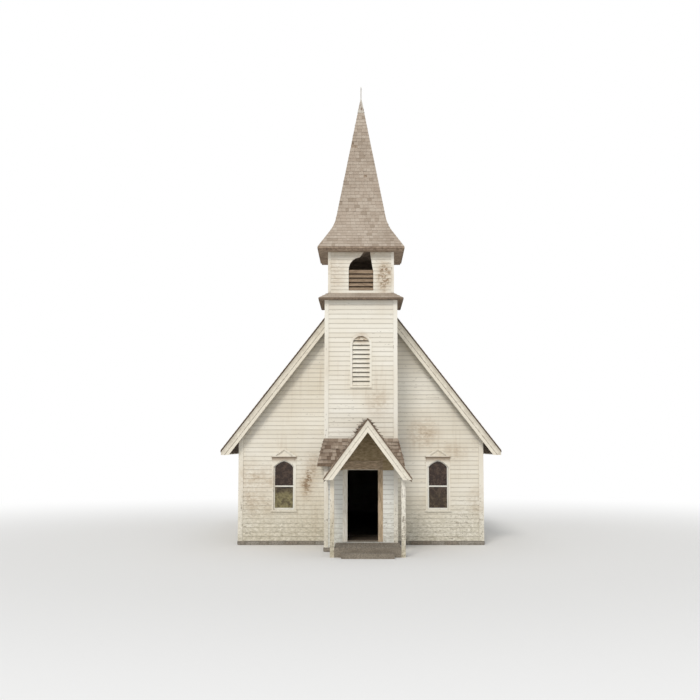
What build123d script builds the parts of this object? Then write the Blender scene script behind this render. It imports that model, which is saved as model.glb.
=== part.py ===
"""A small timber chapel: a gabled nave with an entrance tower, an arched belfry and a shingled steeple.

Millimetres, +Z up. The origin is on the ground, on the nave's centre line, at the outer face of its
front wall. The porch and the tower stand towards -Y and the nave runs towards +Y.
"""

import os
from math import hypot

from build123d import *

# Ground works and floors
FOUNDATION_HEIGHT = 120
FOUNDATION_WIDTH = 320
FOUNDATION_PROUD = 30
FLOOR_LEVEL = 280

# Nave
NAVE_WIDTH = 7260
NAVE_LENGTH = 10970
WALL = 150
TRIM = 30
CORNER_BOARD_WIDTH = 110

# Main roof: a covering sheet on a rafter layer, with boards that close its edges
ROOF_SLOPE = 1.29
RIDGE_HEIGHT = 8160
ROOF_THICKNESS = 100
ROOF_COVERING = 35
EAVE_REACH = 4160
RAKE_OVERHANG = 350
RAKE_DEPTH = 235
EDGE_BOARD = 30
DRIP = 12
FASCIA_FOOT = 2660
RIDGE_CAP_WIDTH = 150
RIDGE_CAP_THICKNESS = 22

# Windows, as openings in the walls
WINDOW_WIDTH = 620
WINDOW_SILL = 1030
WINDOW_SHOULDER = 2300
WINDOW_PEAK = 2510
WINDOW_BOW = 28
MEETING_RAIL = 1730
CASING_WIDTH = 52
HOOD_FOOT = 2600
HOOD_WIDTH = 780
HOOD_HEIGHT = 260
HOOD_MOULDING = 42
HOOD_PROJECTION = 75
SILL_THICKNESS = 50
SILL_PROJECTION = 65
SASH_FACE = 40
SASH_THICKNESS = 38
SASH_SETBACK = 25
PANE_THICKNESS = 4
FRONT_WINDOW_X = 2300
SIDE_WINDOW_PITCH = 3300
INNER_DOOR_WIDTH = 1200
INNER_DOOR_HEIGHT = 2200

# Tower
TOWER_WIDTH = 2000
TOWER_TOP = 7055
DECK_THICKNESS = 100
TOWER_BOARD_WIDTH = 85
DOOR_X = 50
DOOR_WIDTH = 900
DOOR_HEAD = 2280
DOOR_CASING = 110
DOOR_HEAD_CASING = 240
DOOR_LINING = 22
THRESHOLD = 25
LOUVRE_WIDTH = 490
LOUVRE_SILL = 4620
LOUVRE_SPRING = 5780
LOUVRE_FRAME = 30
LOUVRE_FLANGE = 28
LOUVRE_BLADES = 11
LOUVRE_SILL_WIDTH = 610
LOUVRE_BLADE_DEPTH = 122
LOUVRE_BLADE_THICKNESS = 14
LOUVRE_BLADE_TILT = 60

# Skirt roofs round the tower
LOWER_SKIRT_FOOT = 2360
LOWER_SKIRT_TOP = 3140
LOWER_SKIRT_REACH = 220
LOWER_SKIRT_THICKNESS = 45
SKIRT_LIP = 35
BELFRY_SKIRT_REACH = 202
BELFRY_SKIRT_TOP = 7275

# Belfry and steeple
BELFRY_WIDTH = 1830
BELFRY_WALL = 110
BELFRY_TOP = 8450
BELFRY_BOARD_WIDTH = 80
BELFRY_TRIM = 25
ARCH_WIDTH = 700
ARCH_SILL = 7340
ARCH_SPRING = 7950
CROWN_GAP = ((-30, 7980), (-30, 8312), (70, 8372), (235, 8438), (262, 8420), (318, 8175), (322, 7990))
BELFRY_BLADES = 5
BELFRY_BLADE_PITCH = 122
BELFRY_BLADE_DEPTH = 125
BELFRY_BLADE_THICKNESS = 18
BELFRY_BLADE_TILT = 56
CORNICE_THICKNESS = 50
CORNICE_SETBACK = 40
STEEPLE_EAVE = 1235
STEEPLE_LIP = 35
STEEPLE_BREAK = 751
STEEPLE_BREAK_HEIGHT = 9280
STEEPLE_CURVE = 1200
STEEPLE_POINT = 13290
STEEPLE_TIP = 90
STEEPLE_SKIN = 75
CAP_LIP = 14
CAP_TOP = 13260
FINIAL_ROD = 13
FINIAL_TOP = 13650
FINIAL_POINT = 50

# Porch
PORCH_X = 180
PORCH_DEPTH = 1430
PORCH_OVERHANG = 320
PORCH_SLOPE = 1.35
PORCH_RIDGE = 3660
PORCH_REACH = 1170
PORCH_ROOF_THICKNESS = 70
PORCH_COVERING = 30
PORCH_RAKE_DEPTH = 190
PORCH_RAKE_FOOT = 2035
POST_SIZE = 110
POST_X = 945
BEAM_FOOT = 2100
PORCH_FLOOR_LEVEL = 250
PORCH_FLOOR_THICKNESS = 50
SLEEPER = 110
STEP_HEIGHT = 130
STEP_GOING = 330
STEP_WIDTH = 1400

# Derived places
HALF_NAVE = NAVE_WIDTH / 2
HALF_TOWER = TOWER_WIDTH / 2
HALF_BELFRY = BELFRY_WIDTH / 2
TOWER_FRONT = -TOWER_WIDTH
TOWER_AXIS = -HALF_TOWER
DECK_TOP = TOWER_TOP + DECK_THICKNESS
BELFRY_BACK = TOWER_AXIS + HALF_BELFRY
BELFRY_FRONT = TOWER_AXIS - HALF_BELFRY
CORNICE_TOP = BELFRY_TOP + CORNICE_THICKNESS
POST_FRONT = TOWER_FRONT - PORCH_DEPTH
PORCH_EDGE = POST_FRONT - PORCH_OVERHANG
STEEPLE_SLOPE = (STEEPLE_POINT - STEEPLE_BREAK_HEIGHT) / STEEPLE_BREAK
STEEPLE_FLAT = STEEPLE_POINT - STEEPLE_SLOPE * STEEPLE_TIP

# Where a box stands from its place: on it, behind its front face or in front of its back face
STANDING = (Align.CENTER, Align.CENTER, Align.MIN)
BACKWARDS = (Align.CENTER, Align.MIN, Align.MIN)
FORWARDS = (Align.CENTER, Align.MAX, Align.MIN)

# Where a flat shape lies from its place
UPWARDS = (Align.CENTER, Align.MIN)
DOWNWARDS = (Align.CENTER, Align.MAX)
INWARDS = (Align.MIN, Align.MIN)

# The outer face of each nave wall, seen from outside: u runs to the right and v is the height
FACES = {
    "front": Plane(origin=(0, 0, 0), x_dir=(1, 0, 0), z_dir=(0, -1, 0)),
    "back": Plane(origin=(0, NAVE_LENGTH, 0), x_dir=(-1, 0, 0), z_dir=(0, 1, 0)),
    "left": Plane(origin=(-HALF_NAVE, NAVE_LENGTH / 2, 0), x_dir=(0, -1, 0), z_dir=(-1, 0, 0)),
    "right": Plane(origin=(HALF_NAVE, NAVE_LENGTH / 2, 0), x_dir=(0, 1, 0), z_dir=(1, 0, 0)),
}
WINDOWS = {
    "front": (-FRONT_WINDOW_X, FRONT_WINDOW_X),
    "back": (-FRONT_WINDOW_X, FRONT_WINDOW_X),
    "left": (-SIDE_WINDOW_PITCH, 0, SIDE_WINDOW_PITCH),
    "right": (-SIDE_WINDOW_PITCH, 0, SIDE_WINDOW_PITCH),
}


def write(builder, name):
    """Labels a finished piece and writes its STEP file."""
    builder.part.label = name
    export_step(builder.part, f"parts/{name}.step")


def roof_line(reach, drop=0.0):
    """Height of the main roof's top surface at a reach from the ridge, less a drop square to the slope."""
    return RIDGE_HEIGHT - ROOF_SLOPE * reach - drop * hypot(1, ROOF_SLOPE)


def porch_line(reach, drop=0.0):
    """Height of the porch roof's top surface at a reach from its ridge, less a drop square to the slope."""
    return PORCH_RIDGE - PORCH_SLOPE * reach - drop * hypot(1, PORCH_SLOPE)


def cross_section(y, x=0):
    """The upright plane across the building at y; a negative extrusion from it runs towards the back."""
    return Plane(origin=(x, y, 0), x_dir=(1, 0, 0), z_dir=(0, -1, 0))


def outline(*points):
    """A closed outline through the points."""
    with BuildSketch() as shape:
        with BuildLine():
            Polyline(*points, close=True)
        make_face()
    return shape.sketch


def slope_band(line, side, near, far, upper, lower):
    """The strip of a roof slope between two reaches and two depths below its top surface, cut plumb."""
    return outline(
        (side * near, line(near, upper)),
        (side * far, line(far, upper)),
        (side * far, line(far, lower)),
        (side * near, line(near, lower)),
    )


def under_roof(line, reach, foot, drop=0.0):
    """The gable-shaped outline below a roof's top surface, or below a depth under it."""
    edge = line(reach, drop)
    return outline((-reach, foot), (-reach, edge), (0, line(0, drop)), (reach, edge), (reach, foot))


def pointed_head(half, foot, shoulder, peak):
    """A window outline with a low pointed head of two bowed sides."""
    with BuildSketch() as shape:
        with BuildLine():
            Polyline((-half, shoulder), (-half, foot), (half, foot), (half, shoulder))
            SagittaArc((half, shoulder), (0, peak), -WINDOW_BOW)
            SagittaArc((0, peak), (-half, shoulder), -WINDOW_BOW)
        make_face()
    return shape.sketch


def round_head(half, foot, spring):
    """A round-headed outline."""
    with BuildSketch() as shape:
        with BuildLine():
            Polyline((-half, spring), (-half, foot), (half, foot), (half, spring))
            RadiusArc((half, spring), (-half, spring), -half)
        make_face()
    return shape.sketch


def square_block(*points, radius=0):
    """A block, square on plan about the tower's axis, whose sides follow points of half width and height."""
    (foot_half, foot), (top_half, top) = points[0], points[-1]
    across = cross_section(TOWER_AXIS)
    along = Plane(origin=(0, TOWER_AXIS, 0), x_dir=(0, 1, 0), z_dir=(1, 0, 0))
    with BuildPart() as block:
        for plane, mode in ((across, Mode.ADD), (along, Mode.INTERSECT)):
            with BuildSketch(plane) as section:
                with BuildLine():
                    Polyline(*points)
                    mirror(about=Plane.YZ)
                    Line((-foot_half, foot), (foot_half, foot))
                    Line((-top_half, top), (top_half, top))
                make_face()
                if radius:
                    breaks = section.vertices().group_by(Axis.Y)[-2]
                    fillet(breaks, radius)
            extrude(amount=2 * foot_half, both=True, mode=mode)
    return block.part


def louvre_blades(width, foot, pitch, count, depth, thickness, tilt):
    """Sloping boards in front of y = 0, one above another, whose outer edges hang lowest."""
    middles = [(-depth / 2, foot + (number + 0.5) * pitch) for number in range(count)]
    with BuildPart() as blades:
        with BuildSketch(Plane.YZ.offset(-width / 2)):
            with Locations(*middles):
                Rectangle(depth, thickness, rotation=tilt)
        extrude(amount=width)
    return blades.part


os.makedirs("parts", exist_ok=True)

# Foundation walls, which leave a ledge inside for the floors
NAVE_RING = NAVE_WIDTH + 2 * FOUNDATION_PROUD
side_x = (NAVE_RING - FOUNDATION_WIDTH) / 2
with BuildPart() as foundation_sides:
    with Locations((-side_x, NAVE_LENGTH / 2), (side_x, NAVE_LENGTH / 2)):
        Box(FOUNDATION_WIDTH, NAVE_LENGTH + 2 * FOUNDATION_PROUD, FOUNDATION_HEIGHT, align=STANDING)
write(foundation_sides, "foundation_sides")

end_y = FOUNDATION_WIDTH / 2 - FOUNDATION_PROUD
with BuildPart() as foundation_ends:
    with Locations((0, end_y), (0, NAVE_LENGTH - end_y)):
        Box(NAVE_RING - 2 * FOUNDATION_WIDTH, FOUNDATION_WIDTH, FOUNDATION_HEIGHT, align=STANDING)
write(foundation_ends, "foundation_ends")

with BuildPart() as tower_foundation:
    with BuildSketch():
        with Locations((0, -FOUNDATION_PROUD)):
            Rectangle(TOWER_WIDTH + 2 * FOUNDATION_PROUD, TOWER_WIDTH, align=DOWNWARDS)
            inner_width = TOWER_WIDTH + 2 * FOUNDATION_PROUD - 2 * FOUNDATION_WIDTH
            Rectangle(inner_width, TOWER_WIDTH - FOUNDATION_WIDTH, align=DOWNWARDS, mode=Mode.SUBTRACT)
    extrude(amount=FOUNDATION_HEIGHT)
write(tower_foundation, "tower_foundation")

# Floors, between the walls
floor_thickness = FLOOR_LEVEL - FOUNDATION_HEIGHT
with BuildPart() as nave_floor:
    with Locations((0, NAVE_LENGTH / 2, FOUNDATION_HEIGHT)):
        Box(NAVE_WIDTH - 2 * WALL, NAVE_LENGTH - 2 * WALL, floor_thickness, align=STANDING)
write(nave_floor, "nave_floor")

with BuildPart() as tower_floor:
    with Locations((0, 0, FOUNDATION_HEIGHT)):
        Box(TOWER_WIDTH - 2 * WALL, TOWER_WIDTH - WALL, floor_thickness, align=FORWARDS)
write(tower_floor, "tower_floor")

# Nave gable walls
window_hole = pointed_head(WINDOW_WIDTH / 2, WINDOW_SILL, WINDOW_SHOULDER, WINDOW_PEAK)
gable = under_roof(roof_line, HALF_NAVE, FOUNDATION_HEIGHT, ROOF_THICKNESS)
with BuildPart() as front_gable_wall:
    with BuildSketch(FACES["front"]):
        add(gable)
        with Locations(*[(u, 0) for u in WINDOWS["front"]]):
            add(window_hole, mode=Mode.SUBTRACT)
        with Locations((0, FLOOR_LEVEL)):
            Rectangle(INNER_DOOR_WIDTH, INNER_DOOR_HEIGHT, align=UPWARDS, mode=Mode.SUBTRACT)
    extrude(amount=-WALL)
write(front_gable_wall, "front_gable_wall")

with BuildPart() as back_gable_wall:
    with BuildSketch(FACES["back"]):
        add(gable)
        with Locations(*[(u, 0) for u in WINDOWS["back"]]):
            add(window_hole, mode=Mode.SUBTRACT)
    extrude(amount=-WALL)
write(back_gable_wall, "back_gable_wall")

# Nave side walls, bevelled on top to the rafters
for name, side in (("left", -1), ("right", 1)):
    with BuildPart() as side_wall:
        with BuildSketch(cross_section(WALL)):
            inner = HALF_NAVE - WALL
            add(
                outline(
                    (side * HALF_NAVE, FOUNDATION_HEIGHT),
                    (side * HALF_NAVE, roof_line(HALF_NAVE, ROOF_THICKNESS)),
                    (side * inner, roof_line(inner, ROOF_THICKNESS)),
                    (side * inner, FOUNDATION_HEIGHT),
                )
            )
        extrude(amount=-(NAVE_LENGTH - 2 * WALL))
        with BuildSketch(FACES[name]):
            with Locations(*[(u, 0) for u in WINDOWS[name]]):
                add(window_hole)
        extrude(amount=-WALL, mode=Mode.SUBTRACT)
    write(side_wall, f"{name}_side_wall")

# Corner boards of the nave, cut to the underside of the roof
left_soffit = Plane(origin=(0, 0, roof_line(0, ROOF_THICKNESS)), x_dir=(0, 1, 0), z_dir=(-ROOF_SLOPE, 0, 1))
with BuildPart() as corner_boards:
    with BuildSketch(Plane.XY.offset(FOUNDATION_HEIGHT)):
        with Locations((-HALF_NAVE - TRIM, -TRIM)):
            Rectangle(CORNER_BOARD_WIDTH + TRIM, CORNER_BOARD_WIDTH + TRIM, align=INWARDS)
        with Locations((-HALF_NAVE, 0)):
            Rectangle(CORNER_BOARD_WIDTH, CORNER_BOARD_WIDTH, align=INWARDS, mode=Mode.SUBTRACT)
    extrude(amount=RIDGE_HEIGHT)
    split(bisect_by=left_soffit, keep=Keep.BOTTOM)
    mirror(about=Plane.YZ)
    mirror(about=Plane.XZ.offset(-NAVE_LENGTH / 2))
write(corner_boards, "corner_boards")

# Window casings: a flat surround, a sill, and a hood like a low pediment with mouldings round its field
surround = 2 * CASING_WIDTH + WINDOW_WIDTH
pediment = outline((-HOOD_WIDTH / 2, 0), (0, HOOD_HEIGHT), (HOOD_WIDTH / 2, 0))
with BuildSketch() as hood_mouldings:
    add(pediment)
    offset(pediment, amount=-HOOD_MOULDING, kind=Kind.INTERSECTION, mode=Mode.SUBTRACT)
with BuildPart() as window_casings:
    for name, face in FACES.items():
        with BuildSketch(face):
            with Locations(*[(u, WINDOW_SILL) for u in WINDOWS[name]]):
                Rectangle(surround, HOOD_FOOT - WINDOW_SILL, align=UPWARDS)
            with Locations(*[(u, HOOD_FOOT) for u in WINDOWS[name]]):
                add(pediment)
            with Locations(*[(u, 0) for u in WINDOWS[name]]):
                add(window_hole, mode=Mode.SUBTRACT)
        extrude(amount=TRIM)
        with BuildSketch(face):
            with Locations(*[(u, HOOD_FOOT) for u in WINDOWS[name]]):
                add(hood_mouldings.sketch)
        extrude(amount=HOOD_PROJECTION)
        with BuildSketch(face):
            with Locations(*[(u, WINDOW_SILL) for u in WINDOWS[name]]):
                Rectangle(HOOD_WIDTH, SILL_THICKNESS, align=DOWNWARDS)
        extrude(amount=SILL_PROJECTION)
write(window_casings, "window_casings")

# Window sashes: one frame a window, with a pointed light over a plain one
glass_half = WINDOW_WIDTH / 2 - SASH_FACE
upper_light = pointed_head(glass_half, MEETING_RAIL + SASH_FACE / 2, WINDOW_SHOULDER, WINDOW_PEAK - SASH_FACE)
lower_light = outline(
    (-glass_half, WINDOW_SILL + 1.5 * SASH_FACE),
    (-glass_half, MEETING_RAIL - SASH_FACE / 2),
    (glass_half, MEETING_RAIL - SASH_FACE / 2),
    (glass_half, WINDOW_SILL + 1.5 * SASH_FACE),
)
with BuildPart() as window_sashes:
    for name, face in FACES.items():
        with BuildSketch(face.offset(-SASH_SETBACK)):
            with Locations(*[(u, 0) for u in WINDOWS[name]]):
                add(window_hole)
                add(upper_light, mode=Mode.SUBTRACT)
                add(lower_light, mode=Mode.SUBTRACT)
        extrude(amount=-SASH_THICKNESS)
write(window_sashes, "window_sashes")

with BuildPart() as window_panes:
    for name, face in FACES.items():
        with BuildSketch(face.offset(-SASH_SETBACK - SASH_THICKNESS / 2)):
            with Locations(*[(u, 0) for u in WINDOWS[name]]):
                add(upper_light)
                add(lower_light)
        extrude(amount=-PANE_THICKNESS)
write(window_panes, "window_panes")

# Main roof slopes, cut round the tower below its deck and round the belfry above it
for name, side in (("left", -1), ("right", 1)):
    with BuildPart() as roof_slope:
        with BuildSketch(cross_section(-RAKE_OVERHANG - DRIP)):
            add(slope_band(roof_line, side, 0, EAVE_REACH, 0, ROOF_COVERING))
        extrude(amount=-(NAVE_LENGTH + 2 * (RAKE_OVERHANG + DRIP)))
        with BuildSketch(cross_section(EDGE_BOARD - RAKE_OVERHANG)):
            rafter_end = EAVE_REACH - DRIP - EDGE_BOARD
            add(slope_band(roof_line, side, 0, rafter_end, ROOF_COVERING, ROOF_THICKNESS))
        extrude(amount=-(NAVE_LENGTH + 2 * (RAKE_OVERHANG - EDGE_BOARD)))
        Box(TOWER_WIDTH, TOWER_WIDTH, DECK_TOP, align=FORWARDS, mode=Mode.SUBTRACT)
        with Locations((0, BELFRY_BACK, DECK_TOP)):
            Box(TOWER_WIDTH, TOWER_WIDTH, TOWER_WIDTH, align=FORWARDS, mode=Mode.SUBTRACT)
    write(roof_slope, f"{name}_roof_slope")

with BuildPart() as ridge_cap:
    with BuildSketch(cross_section(BELFRY_BACK)):
        add(slope_band(roof_line, -1, 0, RIDGE_CAP_WIDTH, -RIDGE_CAP_THICKNESS, 0))
        add(slope_band(roof_line, 1, 0, RIDGE_CAP_WIDTH, -RIDGE_CAP_THICKNESS, 0))
    extrude(amount=-(NAVE_LENGTH + RAKE_OVERHANG + DRIP - BELFRY_BACK))
write(ridge_cap, "ridge_cap")

# Rake boards and fascias, under the lip of the covering
rake_end = EAVE_REACH - DRIP
rake_foot = ROOF_COVERING + RAKE_DEPTH
with BuildPart() as front_rake_boards:
    with BuildSketch(cross_section(-RAKE_OVERHANG)):
        for side in (-1, 1):
            add(slope_band(roof_line, side, HALF_TOWER, rake_end, ROOF_COVERING, rake_foot))
        with Locations((0, FASCIA_FOOT)):
            Rectangle(2 * EAVE_REACH, FASCIA_FOOT, align=DOWNWARDS, mode=Mode.SUBTRACT)
    extrude(amount=-EDGE_BOARD)
write(front_rake_boards, "front_rake_boards")

with BuildPart() as back_rake_boards:
    with BuildSketch(cross_section(NAVE_LENGTH + RAKE_OVERHANG - EDGE_BOARD)):
        for side in (-1, 1):
            add(slope_band(roof_line, side, 0, rake_end, ROOF_COVERING, rake_foot))
        with Locations((0, FASCIA_FOOT)):
            Rectangle(2 * EAVE_REACH, FASCIA_FOOT, align=DOWNWARDS, mode=Mode.SUBTRACT)
    extrude(amount=-EDGE_BOARD)
write(back_rake_boards, "back_rake_boards")

with BuildPart() as eave_fascias:
    with BuildSketch(cross_section(EDGE_BOARD - RAKE_OVERHANG)):
        back_of_fascia = rake_end - EDGE_BOARD
        add(
            outline(
                (back_of_fascia, roof_line(back_of_fascia, ROOF_COVERING)),
                (rake_end, roof_line(rake_end, ROOF_COVERING)),
                (rake_end, FASCIA_FOOT),
                (back_of_fascia, FASCIA_FOOT),
            )
        )
        mirror(about=Plane.YZ)
    extrude(amount=-(NAVE_LENGTH + 2 * (RAKE_OVERHANG - EDGE_BOARD)))
write(eave_fascias, "eave_fascias")

# Tower walls: the front one carries the doorway and the arched louvre
louvre_outer = LOUVRE_WIDTH / 2 + LOUVRE_FRAME
with BuildPart() as tower_front_wall:
    with BuildSketch(cross_section(TOWER_FRONT)):
        with Locations((0, FOUNDATION_HEIGHT)):
            Rectangle(TOWER_WIDTH, TOWER_TOP - FOUNDATION_HEIGHT, align=UPWARDS)
        with Locations((DOOR_X, FLOOR_LEVEL)):
            Rectangle(DOOR_WIDTH, DOOR_HEAD - FLOOR_LEVEL, align=UPWARDS, mode=Mode.SUBTRACT)
        add(round_head(louvre_outer, LOUVRE_SILL - LOUVRE_FRAME, LOUVRE_SPRING), mode=Mode.SUBTRACT)
    extrude(amount=-WALL)
write(tower_front_wall, "tower_front_wall")

for name, side in (("left", -1), ("right", 1)):
    with BuildPart() as tower_side_wall:
        with Locations((side * (HALF_TOWER - WALL / 2), 0, FOUNDATION_HEIGHT)):
            length = TOWER_WIDTH - WALL
            height = TOWER_TOP - FOUNDATION_HEIGHT
            Box(WALL, length, height, align=FORWARDS)
    write(tower_side_wall, f"tower_{name}_wall")

with BuildPart() as tower_corner_boards:
    for foot, top in ((FOUNDATION_HEIGHT, LOWER_SKIRT_FOOT), (LOWER_SKIRT_TOP, TOWER_TOP)):
        with BuildSketch(Plane.XY.offset(foot)):
            with Locations((-HALF_TOWER - TRIM, TOWER_FRONT - TRIM)):
                Rectangle(TOWER_BOARD_WIDTH + TRIM, TOWER_BOARD_WIDTH + TRIM, align=INWARDS)
            with Locations((-HALF_TOWER, TOWER_FRONT)):
                Rectangle(TOWER_BOARD_WIDTH, TOWER_BOARD_WIDTH, align=INWARDS, mode=Mode.SUBTRACT)
        extrude(amount=top - foot)
    mirror(about=Plane.YZ)
write(tower_corner_boards, "tower_corner_boards")

# Doorway: casing boards outside, a lining through the wall and a threshold
door_height = DOOR_HEAD - FLOOR_LEVEL
clear_width = DOOR_WIDTH - 2 * DOOR_LINING
clear_height = door_height - DOOR_LINING
with BuildPart() as door_casing:
    with BuildSketch(cross_section(TOWER_FRONT - TRIM, DOOR_X)):
        with Locations((0, FLOOR_LEVEL)):
            Rectangle(DOOR_WIDTH + 2 * DOOR_CASING, door_height + DOOR_HEAD_CASING, align=UPWARDS)
            Rectangle(clear_width, clear_height, align=UPWARDS, mode=Mode.SUBTRACT)
    extrude(amount=-TRIM)
    with BuildSketch(cross_section(TOWER_FRONT, DOOR_X)):
        with Locations((0, FLOOR_LEVEL)):
            Rectangle(DOOR_WIDTH, door_height, align=UPWARDS)
            Rectangle(clear_width, clear_height, align=UPWARDS, mode=Mode.SUBTRACT)
    extrude(amount=-WALL)
write(door_casing, "door_casing")

with BuildPart() as door_threshold:
    with Locations((DOOR_X, TOWER_FRONT - TRIM, FLOOR_LEVEL)):
        Box(clear_width, WALL + TRIM, THRESHOLD, align=BACKWARDS)
write(door_threshold, "door_threshold")

# Louvred window of the tower
with BuildPart() as louvre_frame:
    with BuildSketch(cross_section(TOWER_FRONT)):
        add(round_head(louvre_outer, LOUVRE_SILL - LOUVRE_FRAME, LOUVRE_SPRING))
        add(round_head(LOUVRE_WIDTH / 2, LOUVRE_SILL, LOUVRE_SPRING), mode=Mode.SUBTRACT)
    extrude(amount=-WALL)
    with BuildSketch(cross_section(TOWER_FRONT)):
        add(round_head(louvre_outer + LOUVRE_FLANGE, LOUVRE_SILL - LOUVRE_FRAME, LOUVRE_SPRING))
        add(round_head(LOUVRE_WIDTH / 2, LOUVRE_SILL, LOUVRE_SPRING), mode=Mode.SUBTRACT)
    extrude(amount=TRIM)
    with BuildSketch(cross_section(TOWER_FRONT)):
        with Locations((0, LOUVRE_SILL - LOUVRE_FRAME)):
            Rectangle(LOUVRE_SILL_WIDTH, LOUVRE_FRAME, align=DOWNWARDS)
    extrude(amount=SILL_PROJECTION)
write(louvre_frame, "louvre_frame")

tower_blades = louvre_blades(
    LOUVRE_WIDTH,
    LOUVRE_SILL,
    (LOUVRE_SPRING + LOUVRE_WIDTH / 2 - LOUVRE_SILL) / LOUVRE_BLADES,
    LOUVRE_BLADES,
    LOUVRE_BLADE_DEPTH,
    LOUVRE_BLADE_THICKNESS,
    LOUVRE_BLADE_TILT,
)
with BuildPart() as louvre_slats:
    with Locations((0, TOWER_FRONT + WALL * 2 / 3, 0)):
        add(tower_blades)
    with BuildSketch(cross_section(TOWER_FRONT)):
        add(round_head(LOUVRE_WIDTH / 2, LOUVRE_SILL, LOUVRE_SPRING))
    extrude(amount=-WALL, mode=Mode.INTERSECT)
write(louvre_slats, "louvre_slats")

# Belfry deck, and the skirt roof that sheds water round it
with BuildPart() as belfry_deck:
    add(square_block((HALF_TOWER, TOWER_TOP), (HALF_TOWER, DECK_TOP)))
write(belfry_deck, "belfry_deck")

skirt_edge = HALF_TOWER + BELFRY_SKIRT_REACH
skirt_lip = TOWER_TOP + SKIRT_LIP
with BuildPart() as belfry_skirt_roof:
    add(square_block((skirt_edge, TOWER_TOP), (skirt_edge, skirt_lip), (HALF_BELFRY, BELFRY_SKIRT_TOP)))
    add(square_block((HALF_TOWER, TOWER_TOP), (HALF_TOWER, DECK_TOP)), mode=Mode.SUBTRACT)
    add(square_block((HALF_BELFRY, TOWER_TOP), (HALF_BELFRY, BELFRY_SKIRT_TOP)), mode=Mode.SUBTRACT)
    with BuildSketch(cross_section(BELFRY_BACK)):
        add(under_roof(roof_line, HALF_NAVE, FLOOR_LEVEL))
    extrude(amount=-TOWER_WIDTH, mode=Mode.SUBTRACT)
write(belfry_skirt_roof, "belfry_skirt_roof")

# Lower skirt roof round the foot of the tower, cut by the porch roof and stopped by the nave
lower_edge = HALF_TOWER + LOWER_SKIRT_REACH
with BuildPart() as lower_skirt_roof:
    add(
        square_block(
            (lower_edge, LOWER_SKIRT_FOOT),
            (lower_edge, LOWER_SKIRT_FOOT + SKIRT_LIP),
            (HALF_TOWER + TRIM, LOWER_SKIRT_TOP),
        )
    )
    add(
        square_block(
            (lower_edge - LOWER_SKIRT_THICKNESS, LOWER_SKIRT_FOOT),
            (HALF_TOWER, LOWER_SKIRT_TOP - LOWER_SKIRT_THICKNESS),
        ),
        mode=Mode.SUBTRACT,
    )
    add(square_block((HALF_TOWER, FLOOR_LEVEL), (HALF_TOWER, TOWER_TOP)), mode=Mode.SUBTRACT)
    Box(NAVE_WIDTH, TOWER_WIDTH, TOWER_TOP, align=BACKWARDS, mode=Mode.SUBTRACT)
    with BuildSketch(cross_section(PORCH_EDGE, PORCH_X)):
        add(under_roof(porch_line, PORCH_REACH + LOWER_SKIRT_REACH, FLOOR_LEVEL))
    extrude(amount=PORCH_EDGE - TOWER_FRONT, mode=Mode.SUBTRACT)
write(lower_skirt_roof, "lower_skirt_roof")

# Belfry walls: arched openings in front and at the sides, the front arch with its crown broken away
belfry_height = BELFRY_TOP - DECK_TOP
arch = round_head(ARCH_WIDTH / 2, ARCH_SILL, ARCH_SPRING)
with BuildPart() as belfry_front_wall:
    with BuildSketch(cross_section(BELFRY_FRONT)):
        with Locations((0, DECK_TOP)):
            Rectangle(BELFRY_WIDTH, belfry_height, align=UPWARDS)
        add(arch, mode=Mode.SUBTRACT)
        add(outline(*CROWN_GAP), mode=Mode.SUBTRACT)
    extrude(amount=-BELFRY_WALL)
write(belfry_front_wall, "belfry_front_wall")

with BuildPart() as belfry_back_wall:
    with Locations((0, BELFRY_BACK, DECK_TOP)):
        Box(BELFRY_WIDTH, BELFRY_WALL, belfry_height, align=FORWARDS)
write(belfry_back_wall, "belfry_back_wall")

belfry_side_plane = Plane(origin=(-HALF_BELFRY, TOWER_AXIS, 0), x_dir=(0, -1, 0), z_dir=(-1, 0, 0))
with BuildPart() as belfry_side_walls:
    with BuildSketch(belfry_side_plane):
        with Locations((0, DECK_TOP)):
            Rectangle(BELFRY_WIDTH - 2 * BELFRY_WALL, belfry_height, align=UPWARDS)
        add(arch, mode=Mode.SUBTRACT)
    extrude(amount=-BELFRY_WALL)
    mirror(about=Plane.YZ)
write(belfry_side_walls, "belfry_side_walls")

with BuildPart() as belfry_corner_boards:
    with BuildSketch(Plane.XY.offset(BELFRY_SKIRT_TOP)):
        with Locations((-HALF_BELFRY - BELFRY_TRIM, BELFRY_FRONT - BELFRY_TRIM)):
            Rectangle(BELFRY_BOARD_WIDTH, BELFRY_BOARD_WIDTH, align=INWARDS)
        with Locations((-HALF_BELFRY, BELFRY_FRONT)):
            Rectangle(BELFRY_BOARD_WIDTH, BELFRY_BOARD_WIDTH, align=INWARDS, mode=Mode.SUBTRACT)
    extrude(amount=BELFRY_TOP - BELFRY_SKIRT_TOP)
    mirror(about=Plane.YZ)
    mirror(about=Plane.XZ.offset(-TOWER_AXIS))
write(belfry_corner_boards, "belfry_corner_boards")

belfry_blades = louvre_blades(
    ARCH_WIDTH,
    ARCH_SILL,
    BELFRY_BLADE_PITCH,
    BELFRY_BLADES,
    BELFRY_BLADE_DEPTH,
    BELFRY_BLADE_THICKNESS,
    BELFRY_BLADE_TILT,
)
with BuildPart() as belfry_louvres:
    with Locations(*[Location((0, TOWER_AXIS, 0), (0, 0, turn)) for turn in (0, 90, -90)]):
        add(belfry_blades.moved(Location((0, BELFRY_WALL - HALF_BELFRY, 0))))
write(belfry_louvres, "belfry_louvres")

# Cornice board, which closes the belfry below the steeple
with BuildPart() as belfry_cornice:
    cornice_half = STEEPLE_EAVE - CORNICE_SETBACK
    add(square_block((cornice_half, BELFRY_TOP), (cornice_half, CORNICE_TOP)))
write(belfry_cornice, "belfry_cornice")

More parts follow.
